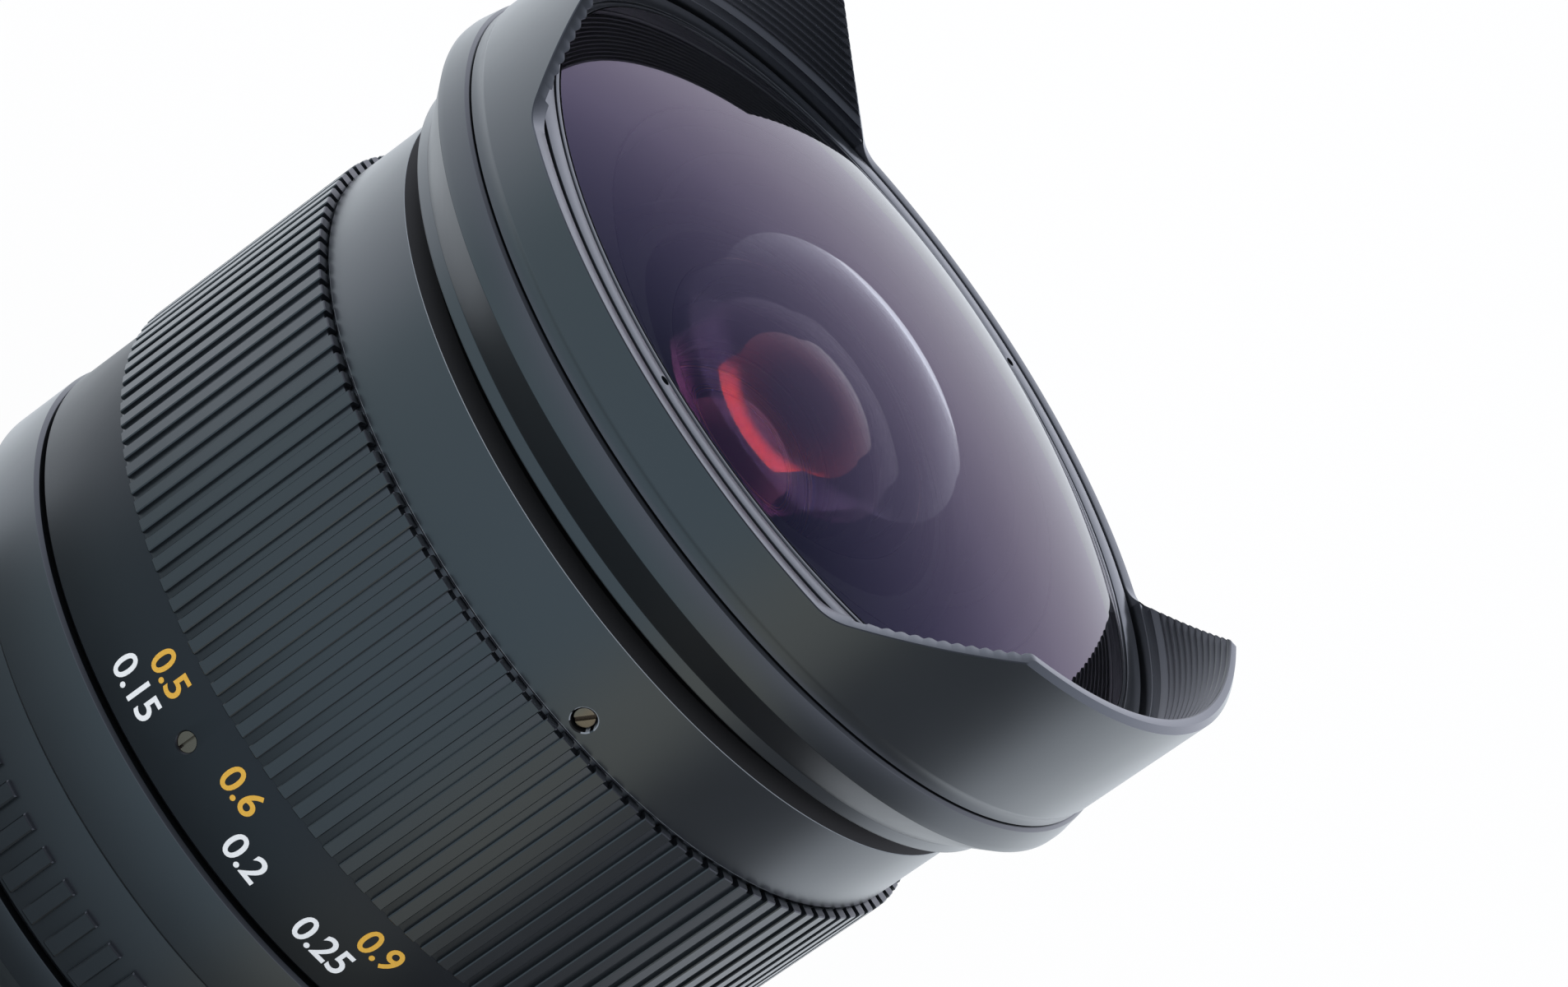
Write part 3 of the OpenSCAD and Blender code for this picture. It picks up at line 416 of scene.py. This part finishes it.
def petal_hood_mesh():
    """Column by column round the axis: the sloping cut opens each light-trap groove, which notches its edge."""
    edge, tip_edge, fine_step, coarse_step = 0.08, 0.45, 0.2, 0.8
    trap_count, trap_top, trap_pitch, trap_depth = 11, 88.75, 0.57, 0.28
    outside = [(34.62, 75.51), (36.9, 75.51), (37.28, 75.51), (37.36, 75.6)]
    outside += [(37.36 - 0.09 * math.sin(math.pi * k / 6) + 0.09 * (k / 6) ** 2, 75.6 + 1.25 * k / 6)
                for k in range(1, 7)]
    outside += [(HOOD_R, 76.9), (HOOD_R, 78.4), (HOOD_R, 80.2)]
    inside = [(PETAL_BORE + 0.12, TIP_Z), (PETAL_BORE, TIP_Z - 0.1)]
    for i in range(trap_count):
        top = trap_top - i * trap_pitch
        inside += [(PETAL_BORE + trap_depth * wave, top - trap_pitch * share)
                   for share, wave in ((0.0, 0.06), (0.18, 0.0), (0.4, 0.45), (0.6, 1.0), (0.8, 0.6))]
    inside += [(PETAL_BORE, 82.15), (PETAL_BORE + 0.05, 82.1), (36.5, 82.1), (36.5, 81.5), (HOOD_BORE + 0.05, 81.5),
               (HOOD_BORE, 81.45), (HOOD_BORE, 79.65), (36.0, 79.6), (35.02, 79.6), (35.02, 78.7), (34.62, 78.7)]
    points, faces, stations = [], [], 0
    a = 0.0
    while a < 360 - 1e-6:
        c, s = math.cos(math.radians(a)), math.sin(math.radians(a))
        lean = math.degrees(math.asin(abs(s)))
        top = rim_height(lean)
        lip_z = top - edge
        kept = [z <= lip_z + 1e-9 for r, z in inside]
        first = kept.index(True)
        (r0, z0), (r1, z1) = inside[max(first - 1, 0)], inside[first]
        t = (z0 - lip_z) / (z0 - z1) if z0 - z1 > 1e-9 else 1.0
        lip = r0 + (r1 - r0) * min(max(t, 0), 1)
        bevel = max(edge, tip_edge - (TIP_Z - top))
        column = outside + [
            (HOOD_R, max(top - bevel, 80.21)), (HOOD_R - 0.12 * bevel, top - 0.88 * bevel),
            (HOOD_R - 0.88 * bevel, top - 0.12 * bevel), (HOOD_R - bevel, top),
            (lip + edge, top), (lip + 0.3 * edge, top - 0.3 * edge)]
        column += [point if keep else (lip, lip_z) for point, keep in zip(inside, kept)]
        points += [(r * c, r * s, z) for r, z in column]
        stations += 1
        a += fine_step if 30 <= lean < 58 else coarse_step
    count = len(points) // stations
    for j in range(stations):
        k = (j + 1) % stations
        for i in range(count):
            n = (i + 1) % count
            faces.append((j * count + i, k * count + i, k * count + n, j * count + n))
    return smooth(closed_mesh("petal_hood", points, faces), 30)


# The hood's inside takes the darker copy, which is painted shade, and its rim takes the lighter copy, which is
# partly painted light.
piece("hood_petals", petal_hood_mesh(), "optical_unit", SATIN, ["petal_hood"],
      (RIM_WITH_PAINTED_LIGHT, SHADED_SATIN), hood_side)
hood_foot = eased([(34.62, 69.5), (34.98, 69.5), (34.98, 68.42), (35.32, 68.42), (35.32, 69.48), (38.0, 72.9),
                   (38.0, 73.5), (37.68, 75.22), (37.44, 75.43), (36.9, 75.43), (34.62, 75.43)], 0.1)
# The foot's faces that point to the rear take the darker copy, which is painted shade under the foot.
piece("hood_foot", smooth(turned("hood_foot", hood_foot)), "optical_unit", SATIN, ["hood_base"],
      (SHADED_SATIN,), looks_down)
retainer = eased([(33.42, 78.8), (35.0, 78.8), (35.0, 79.62), (35.6, 79.62), (35.6, LOW_Z), (34.0, LOW_Z),
                  (33.97, 80.4), (33.78, 80.4), (33.75, LOW_Z), (33.42, 80.75)], 0.05, 2)
SPANNER_R, SPANNER_PITCH_R, SPANNER_ANGLES = 0.4, 34.46, (182.4, 2.4)
spanner_hole = [(0, -0.8), (SPANNER_R, -0.8), (SPANNER_R, 0.6), (0, 0.6)]
spanner_holes = [placed(turned("hole", spanner_hole, 32), a, SPANNER_PITCH_R, LOW_Z) for a in SPANNER_ANGLES]
# Its front faces take the rim copy, partly painted light.
piece("glass_retaining_ring", smooth(carved(turned("glass_retaining_ring", retainer), spanner_holes)),
      "optical_unit", SATIN, ["front_retaining_ring"], (RIM_WITH_PAINTED_LIGHT,), looks_up)

# Glass. Its ground edges are blackened: each skin sits a little inside the glass, so nothing mirrors there.

front_glass = (dome_curve(33.3, 80.78, 6.25)[::-1] + [(33.3, 78.8), (34.0, 78.8), (34.0, 71.2)]
               + dome_curve(22.2, 71.2, 12.5))
piece("front_glass", smooth(turned("front_glass", front_glass, 256), 40), "optical_unit", FRONT_GLASS,
      ["front_element"], (HOLLOW_GLASS,), looks_down)
front_skin = [(33.32, 80.77), (33.32, 78.82), (34.01, 78.82), (34.01, 71.15), (22.35, 71.15), (22.35, 71.28),
              (33.9, 71.28), (33.9, 78.7), (33.22, 78.7), (33.22, 80.77)]
piece("front_glass_edge", smooth(turned("front_glass_edge", front_skin, 256)), "optical_unit", INK)
second_glass = (dome_curve(19.0, 67.0, 8.0)[::-1] + [(20.5, 67.0), (20.5, 63.5)] + dome_curve(13.5, 63.5, 7.0))
piece("second_glass", smooth(turned("second_glass", second_glass, 192), 40), "optical_unit", SECOND_GLASS,
      ["second_element"], (AMBER_GLASS,), looks_down)
second_skin = [(19.05, 67.03), (20.53, 67.03), (20.53, 63.45), (13.6, 63.45), (13.6, 63.58), (20.4, 63.58),
               (20.4, 66.92), (19.05, 66.92)]
piece("second_glass_edge", smooth(turned("second_glass_edge", second_skin, 192)), "optical_unit", INK)
third_glass = (dome_curve(11.8, 54.5, 2.4)[::-1] + [(12.5, 54.5), (12.5, 52.0)] + dome_curve(11.2, 52.0, -1.4))
piece("third_glass", smooth(turned("third_glass", third_glass, 160), 40), "optical_unit", INNER_GLASS,
      ["third_element"], (REAR_GLASS,), looks_down)
third_skin = [(11.85, 54.53), (12.53, 54.53), (12.53, 51.97), (11.25, 51.97), (11.25, 52.1), (12.4, 52.1),
              (12.4, 54.4), (11.85, 54.4)]
piece("third_glass_edge", smooth(turned("third_glass_edge", third_skin, 160)), "optical_unit", INK)

# Front ring with its three set screws

RING_R, SET_SCREW_Z, SET_SCREWS = 34.1, 60.05, (210.2, 330.2, 90.2)
front_ring = eased([(30.52, 58.45), (34.0, 58.45), (RING_R, 58.55), (RING_R, 66.03), (34.07, 66.08), (33.0, 67.15),
                    (31.22, 67.15), (31.22, 62.05), (30.52, 62.05)], 0.02)


def radial_hole(radius, depth, flare):
    """Hole along +X whose mouth is at the origin, with a small countersink."""
    outline = [(0, -depth), (radius, -depth), (radius, -flare), (radius + flare, 0), (radius + flare, 1), (0, 1)]
    mesh = turned("hole", outline, 40)
    mesh.transform(Matrix.Rotation(math.radians(90), 4, "Y"))
    return mesh


set_holes = [placed(radial_hole(1.02, 6, 0.1), a, RING_R, SET_SCREW_Z) for a in SET_SCREWS]
# The front ring's thin edges get a light grey painted highlight, and its bevel and front a matt black painted
# shade.
piece("front_ring", smooth(carved(turned("front_ring", front_ring), set_holes)), "barrel", SATIN,
      ["front_ring"], (PAINTED_EDGE_HIGHLIGHT, MATT_BLACK_AND_SHADE), ring_side)


def slotted_screw(radius, length, slot, turn):
    """Headless screw along +X with its slotted end at the origin and the slot turned out of the ring's plane."""
    outline = eased([(0, -length), (radius, -length), (radius, 0), (0, 0.03)], 0.1)
    body = turned("slotted_screw", outline, 40)
    groove = bpy.data.meshes.new("slot")
    work = bmesh.new()
    bmesh.ops.create_cube(work, size=1, matrix=Matrix.Rotation(math.radians(turn), 4, "Z")
                          @ Matrix.Diagonal((slot * MM, 4 * radius * MM, 0.9 * MM, 1)))
    work.to_mesh(groove)
    work.free()
    body = carved(body, [groove])
    body.transform(Matrix.Rotation(math.radians(90), 4, "Y"))
    return body


SCREW_END_R = 33.72
set_screw = slotted_screw(radius=0.84, length=3.0, slot=0.36, turn=61)
screws = set_round("set_screws", set_screw, len(SET_SCREWS), SCREW_END_R, SET_SCREW_Z, SET_SCREWS[0], STEEL)
piece("ring_set_screws", smooth(screws), "barrel", STEEL, ["set_screws"])

# Focus ring: smooth scale band, floor and ribs

SCALE_R, INDEX_R, STOP_R = 34.4, 34.62, 32.88
RIB_Z, RIB_FLOOR_R, RIB_COUNT = 38.0, 34.6, 120
SLEEVE_SCREW_Z, SLEEVE_SCREWS = 33.75, (64, 184, 304)
scale_band = eased([(33.22, 29.5), (34.15, 29.5), (SCALE_R, 29.75), (SCALE_R, RIB_Z), (33.22, RIB_Z)], 0.05, 2)
band_holes = [placed(radial_hole(0.82, 3, 0.1), a, SCALE_R, SLEEVE_SCREW_Z) for a in SLEEVE_SCREWS]
piece("focus_scale_band", smooth(carved(turned("focus_scale_band", scale_band), band_holes)), "focus", BAND,
      ["focus_ring"])
rib_floor = eased([(33.22, RIB_Z), (RIB_FLOOR_R, RIB_Z), (RIB_FLOOR_R, 57.9), (33.8, 57.92), (33.8, 58.3),
                   (33.22, 58.3)], 0.05, 2)
piece("focus_rib_floor", smooth(turned("focus_rib_floor", rib_floor)), "focus", GRIP)


def rib(low, high, width, length, edge):
    """Straight rib along +Z with eased long edges and ends, its middle line at the origin's radius."""
    half = width / 2
    rows = []
    for z, back in ((0, edge), (edge, 0), (length - edge, 0), (length, edge)):
        top = high - back
        rows.append([(low, -half, z), (top - edge, -half, z), (top, -half + edge, z),
                     (top, half - edge, z), (top - edge, half, z), (low, half, z)])
    points = [p for row in rows for p in row]
    faces = [tuple(range(6)), tuple(range(18, 24))]
    for j in range(3):
        for i in range(6):
            n = (i + 1) % 6
            faces.append((j * 6 + i, j * 6 + n, (j + 1) * 6 + n, (j + 1) * 6 + i))
    return closed_mesh("rib", points, faces)


focus_rib = rib(low=-0.6, high=0.3, width=1.09, length=20.3, edge=0.08)
focus_ribs = set_round("focus_ribs", focus_rib, RIB_COUNT, RIB_FLOOR_R, RIB_Z, 0.92, GRIP)
piece("focus_ribs", smooth(focus_ribs), "focus", GRIP)

# Other rings

index_ring = eased([(32.62, 23.0), (34.32, 23.0), (INDEX_R, 23.3), (INDEX_R, 28.8), (34.32, 29.1), (32.62, 29.1)],
                   0.08)
piece("index_ring", smooth(turned("index_ring", index_ring)), "barrel", SATIN, ["index_ring"])
aperture = eased([(29.48, 13.5), (32.48, 13.5), (STOP_R, 13.9), (STOP_R, 22.3), (32.58, 22.6), (29.48, 22.6)], 0.08)
LEVER_ANGLE, LEVER_Z = 57.5, 18.0
lever_hole = [placed(radial_hole(0.92, 2, 0.1), LEVER_ANGLE, STOP_R, LEVER_Z)]
piece("aperture_band", smooth(carved(turned("aperture_band", aperture), lever_hole)), "aperture", SATIN,
      ["aperture_ring"])
GRIP_COUNT, GRIP_Z = 72, 14.3
grip_rib = rib(low=-0.4, high=0.5, width=1.44, length=4.4, edge=0.12)
grip = set_round("aperture_grip", grip_rib, GRIP_COUNT, STOP_R, GRIP_Z, 60.0, SATIN)
piece("aperture_grip", smooth(grip), "aperture", SATIN)

rear_barrel = eased([(21.5, 8.0), (31.0, 8.0), (32.8, 10.295), (32.8, 13.1), (29.4, 13.1), (29.4, 23.0),
                     (26.0, 23.0), (26.0, 14.6), (20.5, 13.3), (20.5, 9.2), (21.5, 9.2)], 0.08)
piece("rear_barrel", smooth(turned("rear_barrel", rear_barrel)), "barrel", SATIN, ["rear_barrel"])

# Painted scales: filled numbers and lines, a hair proud of their rings

PAINT_T = 0.03


def wrapped(mesh, angle, height, radius):
    """Flat mesh laid on a ring: its x runs round the ring and its y along the axis."""
    for v in mesh.vertices:
        turn, out = math.radians(angle) + v.co.x / (radius * MM), radius * MM + v.co.z
        v.co = Vector((out * math.cos(turn), out * math.sin(turn), height * MM + v.co.y))
    return mesh


def number(text, tall):
    """Number in the plane, with its middle at the origin."""
    curve = bpy.data.curves.new("number", "FONT")
    curve.body, curve.size, curve.extrude = text, tall / 0.73 * MM, PAINT_T * MM
    curve.align_x, curve.align_y, curve.resolution_u = "CENTER", "CENTER", 5
    curve.offset = 0.045 * MM
    holder = bpy.data.objects.new("number", curve)
    scene.collection.objects.link(holder)
    bpy.context.view_layer.update()
    return baked(holder)


def line(width, length):
    """Painted line along y, cut into short steps so that it can lie on a ring."""
    half, steps = width / 2, 3
    points, faces = [], []
    for t in (-PAINT_T, PAINT_T):
        for k in range(steps + 1):
            y = -length / 2 + length * k / steps
            points += [(-half, y, t), (half, y, t)]
    top = 2 * (steps + 1)
    for k in range(steps):
        i = 2 * k
        faces += [(i, i + 1, i + 3, i + 2), (top + i, top + i + 1, top + i + 3, top + i + 2),
                  (i, i + 2, top + i + 2, top + i), (i + 1, i + 3, top + i + 3, top + i + 1)]
    faces += [(0, 1, top + 1, top), (top - 2, top - 1, 2 * top - 1, 2 * top - 2)]
    return closed_mesh("line", points, faces)


def endless(wide, stroke):
    """Sign for the far end of the distance scale: a lying figure of eight drawn with an even stroke."""
    steps, points, faces = 48, [], []
    for k in range(steps):
        t = math.tau * k / steps
        below = 1 + math.sin(t) ** 2
        x, y = wide / 2 * math.cos(t) / below, wide / 2 * math.sin(t) * math.cos(t) / below * 1.25
        ahead = t + 0.01
        low = 1 + math.sin(ahead) ** 2
        dx = wide / 2 * math.cos(ahead) / low - x
        dy = wide / 2 * math.sin(ahead) * math.cos(ahead) / low * 1.25 - y
        size = math.hypot(dx, dy)
        ox, oy = -dy / size * stroke / 2, dx / size * stroke / 2
        points += [(x - ox, y - oy, -PAINT_T), (x + ox, y + oy, -PAINT_T),
                   (x + ox, y + oy, PAINT_T), (x - ox, y - oy, PAINT_T)]
    for k in range(steps):
        n = (k + 1) % steps
        for i in range(4):
            m = (i + 1) % 4
            faces.append((k * 4 + i, n * 4 + i, n * 4 + m, k * 4 + m))
    return closed_mesh("endless", points, faces)


# Degrees from the index line to each mark, and the marks' heights
INDEX_ANGLE, DEPTH_STEP, STOP_STEP = 270, 3, 9
METRES_Z, FEET_Z, INDEX_Z, DEPTH_LINE_Z, DEPTH_Z, STOPS_Z = 32.25, 35.25, 26.3, 27.9, 25.6, 20.5
DISTANCE_TALL, DEPTH_TALL, STOP_TALL = 2.3, 1.7, 1.9
METRES = (("2", 6.65), ("1", 13.4), ("0.6", 22.5), ("0.35", 39.1), ("0.25", 55.45), ("0.2", 70.2), ("0.15", 95.4))
FEET = (("7", 6.23), ("3", 14.65), ("2", 22.1), ("1.2", 37.3), ("0.9", 50.3), ("0.6", 77.1), ("0.5", 94.2))
STOPS = ("2.8", "4", "5.6", "8", "11", "16")


def distance_scale(name, marks, height, finish):
    """Row of painted distances round the focus ring, which ends in the endless sign at the index line."""
    row = [wrapped(number(text, DISTANCE_TALL), INDEX_ANGLE - turn, height, SCALE_R) for text, turn in marks]
    row.append(wrapped(endless(3.4, 0.36), INDEX_ANGLE, height, SCALE_R))
    return piece(name, joined(name, row), "focus", finish)


distance_scale("metre_scale", METRES, METRES_Z, WHITE)
distance_scale("feet_scale", FEET, FEET_Z, YELLOW)
depth = [wrapped(line(0.42, 4.4), INDEX_ANGLE, INDEX_Z, INDEX_R)]
for stop in (4, 8, 16):
    for side in (-1, 1):
        angle = INDEX_ANGLE + side * DEPTH_STEP * stop
        depth.append(wrapped(line(0.26, 1.5), angle, DEPTH_LINE_Z, INDEX_R))
        depth.append(wrapped(number(str(stop), DEPTH_TALL), angle, DEPTH_Z, INDEX_R))
piece("depth_scale", joined("depth_scale", depth), "barrel", WHITE)
stops = [wrapped(number(text, STOP_TALL), INDEX_ANGLE - STOP_STEP * k, STOPS_Z, STOP_R)
         for k, text in enumerate(STOPS)]
piece("stop_scale", joined("stop_scale", stops), "aperture", WHITE)

# Finishes of the solids that stay as they are

KEPT = {
    MATT_BLACK_AND_SHADE: ["rear_baffle", "guide_barrel", "cam_sleeve", "front_barrel", "second_retaining_ring", "front_cell",
           "third_retaining_ring", "iris_base", "iris_cover", "rear_cell", "spacer_tube", "rear_retaining_ring"],
    STEEL: ["mount_screws", "barrel_screws", "click_ball", "click_spring", "iris_lever", "lever_screw",
            "sleeve_screws", "follower_pins", "cell_screws", "iris_base_screws", "rear_cell_screws"],
    CHROME: ["bayonet_mount"], RED: ["mount_dot"], BRASS: ["iris_cam_ring"],
    REAR_GLASS: ["doublet_crown", "doublet_flint", "rear_element"],
    BLADES: [f"iris_blade_{i}" for i in range(1, 8)],
}
for finish, names in KEPT.items():
    for name in names:
        nodes[name].data.materials.clear()
        nodes[name].data.materials.append(finish)

# Camera, from the ring edges of the photograph

camera = bpy.data.objects.new("camera", bpy.data.cameras.new("camera"))
scene.collection.objects.link(camera)
camera.data.sensor_fit, camera.data.sensor_width, camera.data.lens = "HORIZONTAL", 36, 146.09
camera.data.clip_start = 0.01
CAMERA_AT = (-442.45, -111.14, 238.23)
RIGHT, UP, BACK = (0.408527, -0.496061, 0.766178), (0.003120, 0.840175, 0.542307), (-0.912741, -0.219156, 0.344782)
camera.matrix_world = (Matrix.Translation(Vector(CAMERA_AT) * MM)
                       @ Matrix((RIGHT, UP, BACK)).transposed().to_4x4())
scene.camera = camera

# Studio: pale floor, white surround and two soft lamps

floor_mesh = bpy.data.meshes.new("floor")
REACH = 4.0
floor_mesh.from_pydata([(-REACH, -REACH, 0), (REACH, -REACH, 0), (REACH, REACH, 0), (-REACH, REACH, 0)], [],
                       [(0, 1, 2, 3)])
floor = bpy.data.objects.new("floor", floor_mesh)
scene.collection.objects.link(floor)
floor_finish, tree = new_finish("pale_floor_paper")
ray = add(tree, "ShaderNodeLightPath").outputs
mirrored = add(tree, "ShaderNodeMath", {0: ray["Is Glossy Ray"], 1: ray["Is Transmission Ray"]},
               operation="MAXIMUM")
seen = add(tree, "ShaderNodeMath", {0: ray["Is Camera Ray"], 1: mirrored.outputs[0]}, operation="MAXIMUM")
share = add(tree, "ShaderNodeMath", {0: seen.outputs[0], 1: 0.9}, operation="MULTIPLY")
place = add(tree, "ShaderNodeTexCoord").outputs["Object"]
apart = add(tree, "ShaderNodeSeparateXYZ", {0: place})
bearing = add(tree, "ShaderNodeMath", {0: apart.outputs["Y"], 1: apart.outputs["X"]}, operation="ARCTAN2")
round_floor = add(tree, "ShaderNodeMapRange", {"Value": bearing.outputs[0], "From Min": -math.pi,
                                               "From Max": math.pi})
# The room behind the camera is dimmer than the white backdrop, cool on one side, and darkest beside the lens.
room = add(tree, "ShaderNodeValToRGB", {0: round_floor.outputs[0]})
COOL, WARM, DARK, BACKDROP = (0.48, 0.63, 0.68), (0.69, 0.70, 0.59), (0.10, 0.11, 0.12), (0.88, 0.94, 1.0)
ROOM = ((0.083, COOL), (0.125, WARM), (0.165, WARM), (0.192, DARK), (0.288, DARK), (0.328, BACKDROP),
        (0.79, BACKDROP), (0.85, (0.46, 0.59, 0.62)), (1.0, COOL))
stops = room.color_ramp.elements
for k, (position, colour) in enumerate(ROOM):
    stop = stops[k] if k < 2 else stops.new(position)
    stop.position, stop.color = position, (*colour, 1)
# The lens's own shade on the camera's side
reach_out = add(tree, "ShaderNodeVectorMath", {0: place}, operation="LENGTH")
near = add(tree, "ShaderNodeMapRange", {
    "Value": reach_out.outputs["Value"], "From Min": 50 * MM, "From Max": 130 * MM, "To Min": 0.12, "To Max": 1.0},
    interpolation_type="SMOOTHSTEP")
open_side = add(tree, "ShaderNodeMapRange", {"Value": room.outputs["Color"], "From Min": 0.72, "From Max": 0.9})
shade = add(tree, "ShaderNodeMath", {0: near.outputs[0], 1: open_side.outputs[0]}, operation="MAXIMUM")
dimmed = add(tree, "ShaderNodeVectorMath", {0: room.outputs["Color"], "Scale": shade.outputs[0]}, operation="SCALE")
shown = add(tree, "ShaderNodeMix", {0: ray["Is Camera Ray"], 6: dimmed.outputs[0], 7: linear("#ffffff")},
            data_type="RGBA")
paper = add(tree, "ShaderNodeBsdfDiffuse", {"Color": linear("#fcfcfc")})
glow = add(tree, "ShaderNodeEmission", {"Color": shown.outputs[2], "Strength": 1.0})
mixed = add(tree, "ShaderNodeMixShader", {0: share.outputs[0], 1: paper.outputs[0], 2: glow.outputs[0]})
add(tree, "ShaderNodeOutputMaterial", {"Surface": mixed.outputs[0]})
floor_mesh.materials.append(floor_finish)

world = bpy.data.worlds.new("studio")
scene.world = world
world.use_nodes = True
tree = world.node_tree
tree.nodes.clear()
ray = add(tree, "ShaderNodeLightPath").outputs
mirrored = add(tree, "ShaderNodeMath", {0: ray["Is Glossy Ray"], 1: ray["Is Transmission Ray"]},
               operation="MAXIMUM")
seen = add(tree, "ShaderNodeMath", {0: ray["Is Camera Ray"], 1: mirrored.outputs[0]}, operation="MAXIMUM")
way = add(tree, "ShaderNodeTexCoord").outputs["Generated"]
sky = add(tree, "ShaderNodeSeparateXYZ", {0: way})
# The backdrop is white up to a third of the way overhead; the ceiling is dim.
high = add(tree, "ShaderNodeValToRGB", {0: sky.outputs["Z"]})
SKY = ((0.0, 0.95), (0.33, 1.0), (0.5, 0.89), (0.63, 0.65), (0.79, 0.36), (0.88, 0.18), (1.0, 0.12))
stops = high.color_ramp.elements
for k, (position, level) in enumerate(SKY):
    stop = stops[k] if k < 2 else stops.new(position)
    stop.position, stop.color = position, (0.86 * level, 0.88 * level, level, 1)
# A low window behind the camera, which only the inner glass mirrors: only a ray that leaves glass sees it.
WINDOW_WAY, WINDOW_GLOW = math.radians(200), 9.0
facing = add(tree, "ShaderNodeVectorMath", {
    0: way, 1: (math.cos(WINDOW_WAY), math.sin(WINDOW_WAY), 0)}, operation="DOT_PRODUCT")
wide = add(tree, "ShaderNodeMapRange", {"Value": facing.outputs["Value"], "From Min": 0.2, "From Max": 0.7,
                                        "To Max": WINDOW_GLOW}, interpolation_type="SMOOTHSTEP")
sill = add(tree, "ShaderNodeMapRange", {"Value": sky.outputs["Z"], "From Min": 0.02, "From Max": 0.1})
head = add(tree, "ShaderNodeMapRange", {"Value": sky.outputs["Z"], "From Min": 0.35, "From Max": 0.5,
                                        "To Min": 1.0, "To Max": 0.0})
tall = add(tree, "ShaderNodeMath", {0: sill.outputs[0], 1: head.outputs[0]}, operation="MULTIPLY")
pane = add(tree, "ShaderNodeMath", {0: tall.outputs[0], 1: wide.outputs[0]}, operation="MULTIPLY")
window = add(tree, "ShaderNodeMath", {0: pane.outputs[0], 1: ray["Is Transmission Ray"]}, operation="MULTIPLY")
lit = add(tree, "ShaderNodeVectorMath", {0: high.outputs["Color"], 1: window.outputs[0]}, operation="ADD")
overhead = add(tree, "ShaderNodeMix", {0: ray["Is Camera Ray"], 6: lit.outputs[0], 7: linear("#ffffff")},
               data_type="RGBA")
surround = add(tree, "ShaderNodeBackground", {"Color": overhead.outputs[2], "Strength": 1.0})
fill = add(tree, "ShaderNodeBackground", {"Color": linear("#f2f6ff"), "Strength": 0.7})
mixed = add(tree, "ShaderNodeMixShader", {0: seen.outputs[0], 1: fill.outputs[0], 2: surround.outputs[0]})
add(tree, "ShaderNodeOutputWorld", {"Surface": mixed.outputs[0]})


def lamp(name, place, target, size, watts):
    """Soft round lamp that lights the part and isn't mirrored by it."""
    light = bpy.data.lights.new(name, "AREA")
    light.shape, light.size, light.energy = "DISK", size, watts
    held = bpy.data.objects.new(name, light)
    scene.collection.objects.link(held)
    aim = Vector(target) - Vector(place)
    held.matrix_world = Matrix.Translation(place) @ aim.to_track_quat("-Z", "Y").to_matrix().to_4x4()
    held.visible_glossy = held.visible_transmission = False


LENS_MIDDLE = (0, 0, 0.05)
lamp("key_softbox", (0.5, 0.6, 1.0), LENS_MIDDLE, size=0.9, watts=5.0)
lamp("fill_softbox", (-0.9, 0.3, 0.8), LENS_MIDDLE, size=0.9, watts=2.5)

scene.view_settings.view_transform = "Standard"
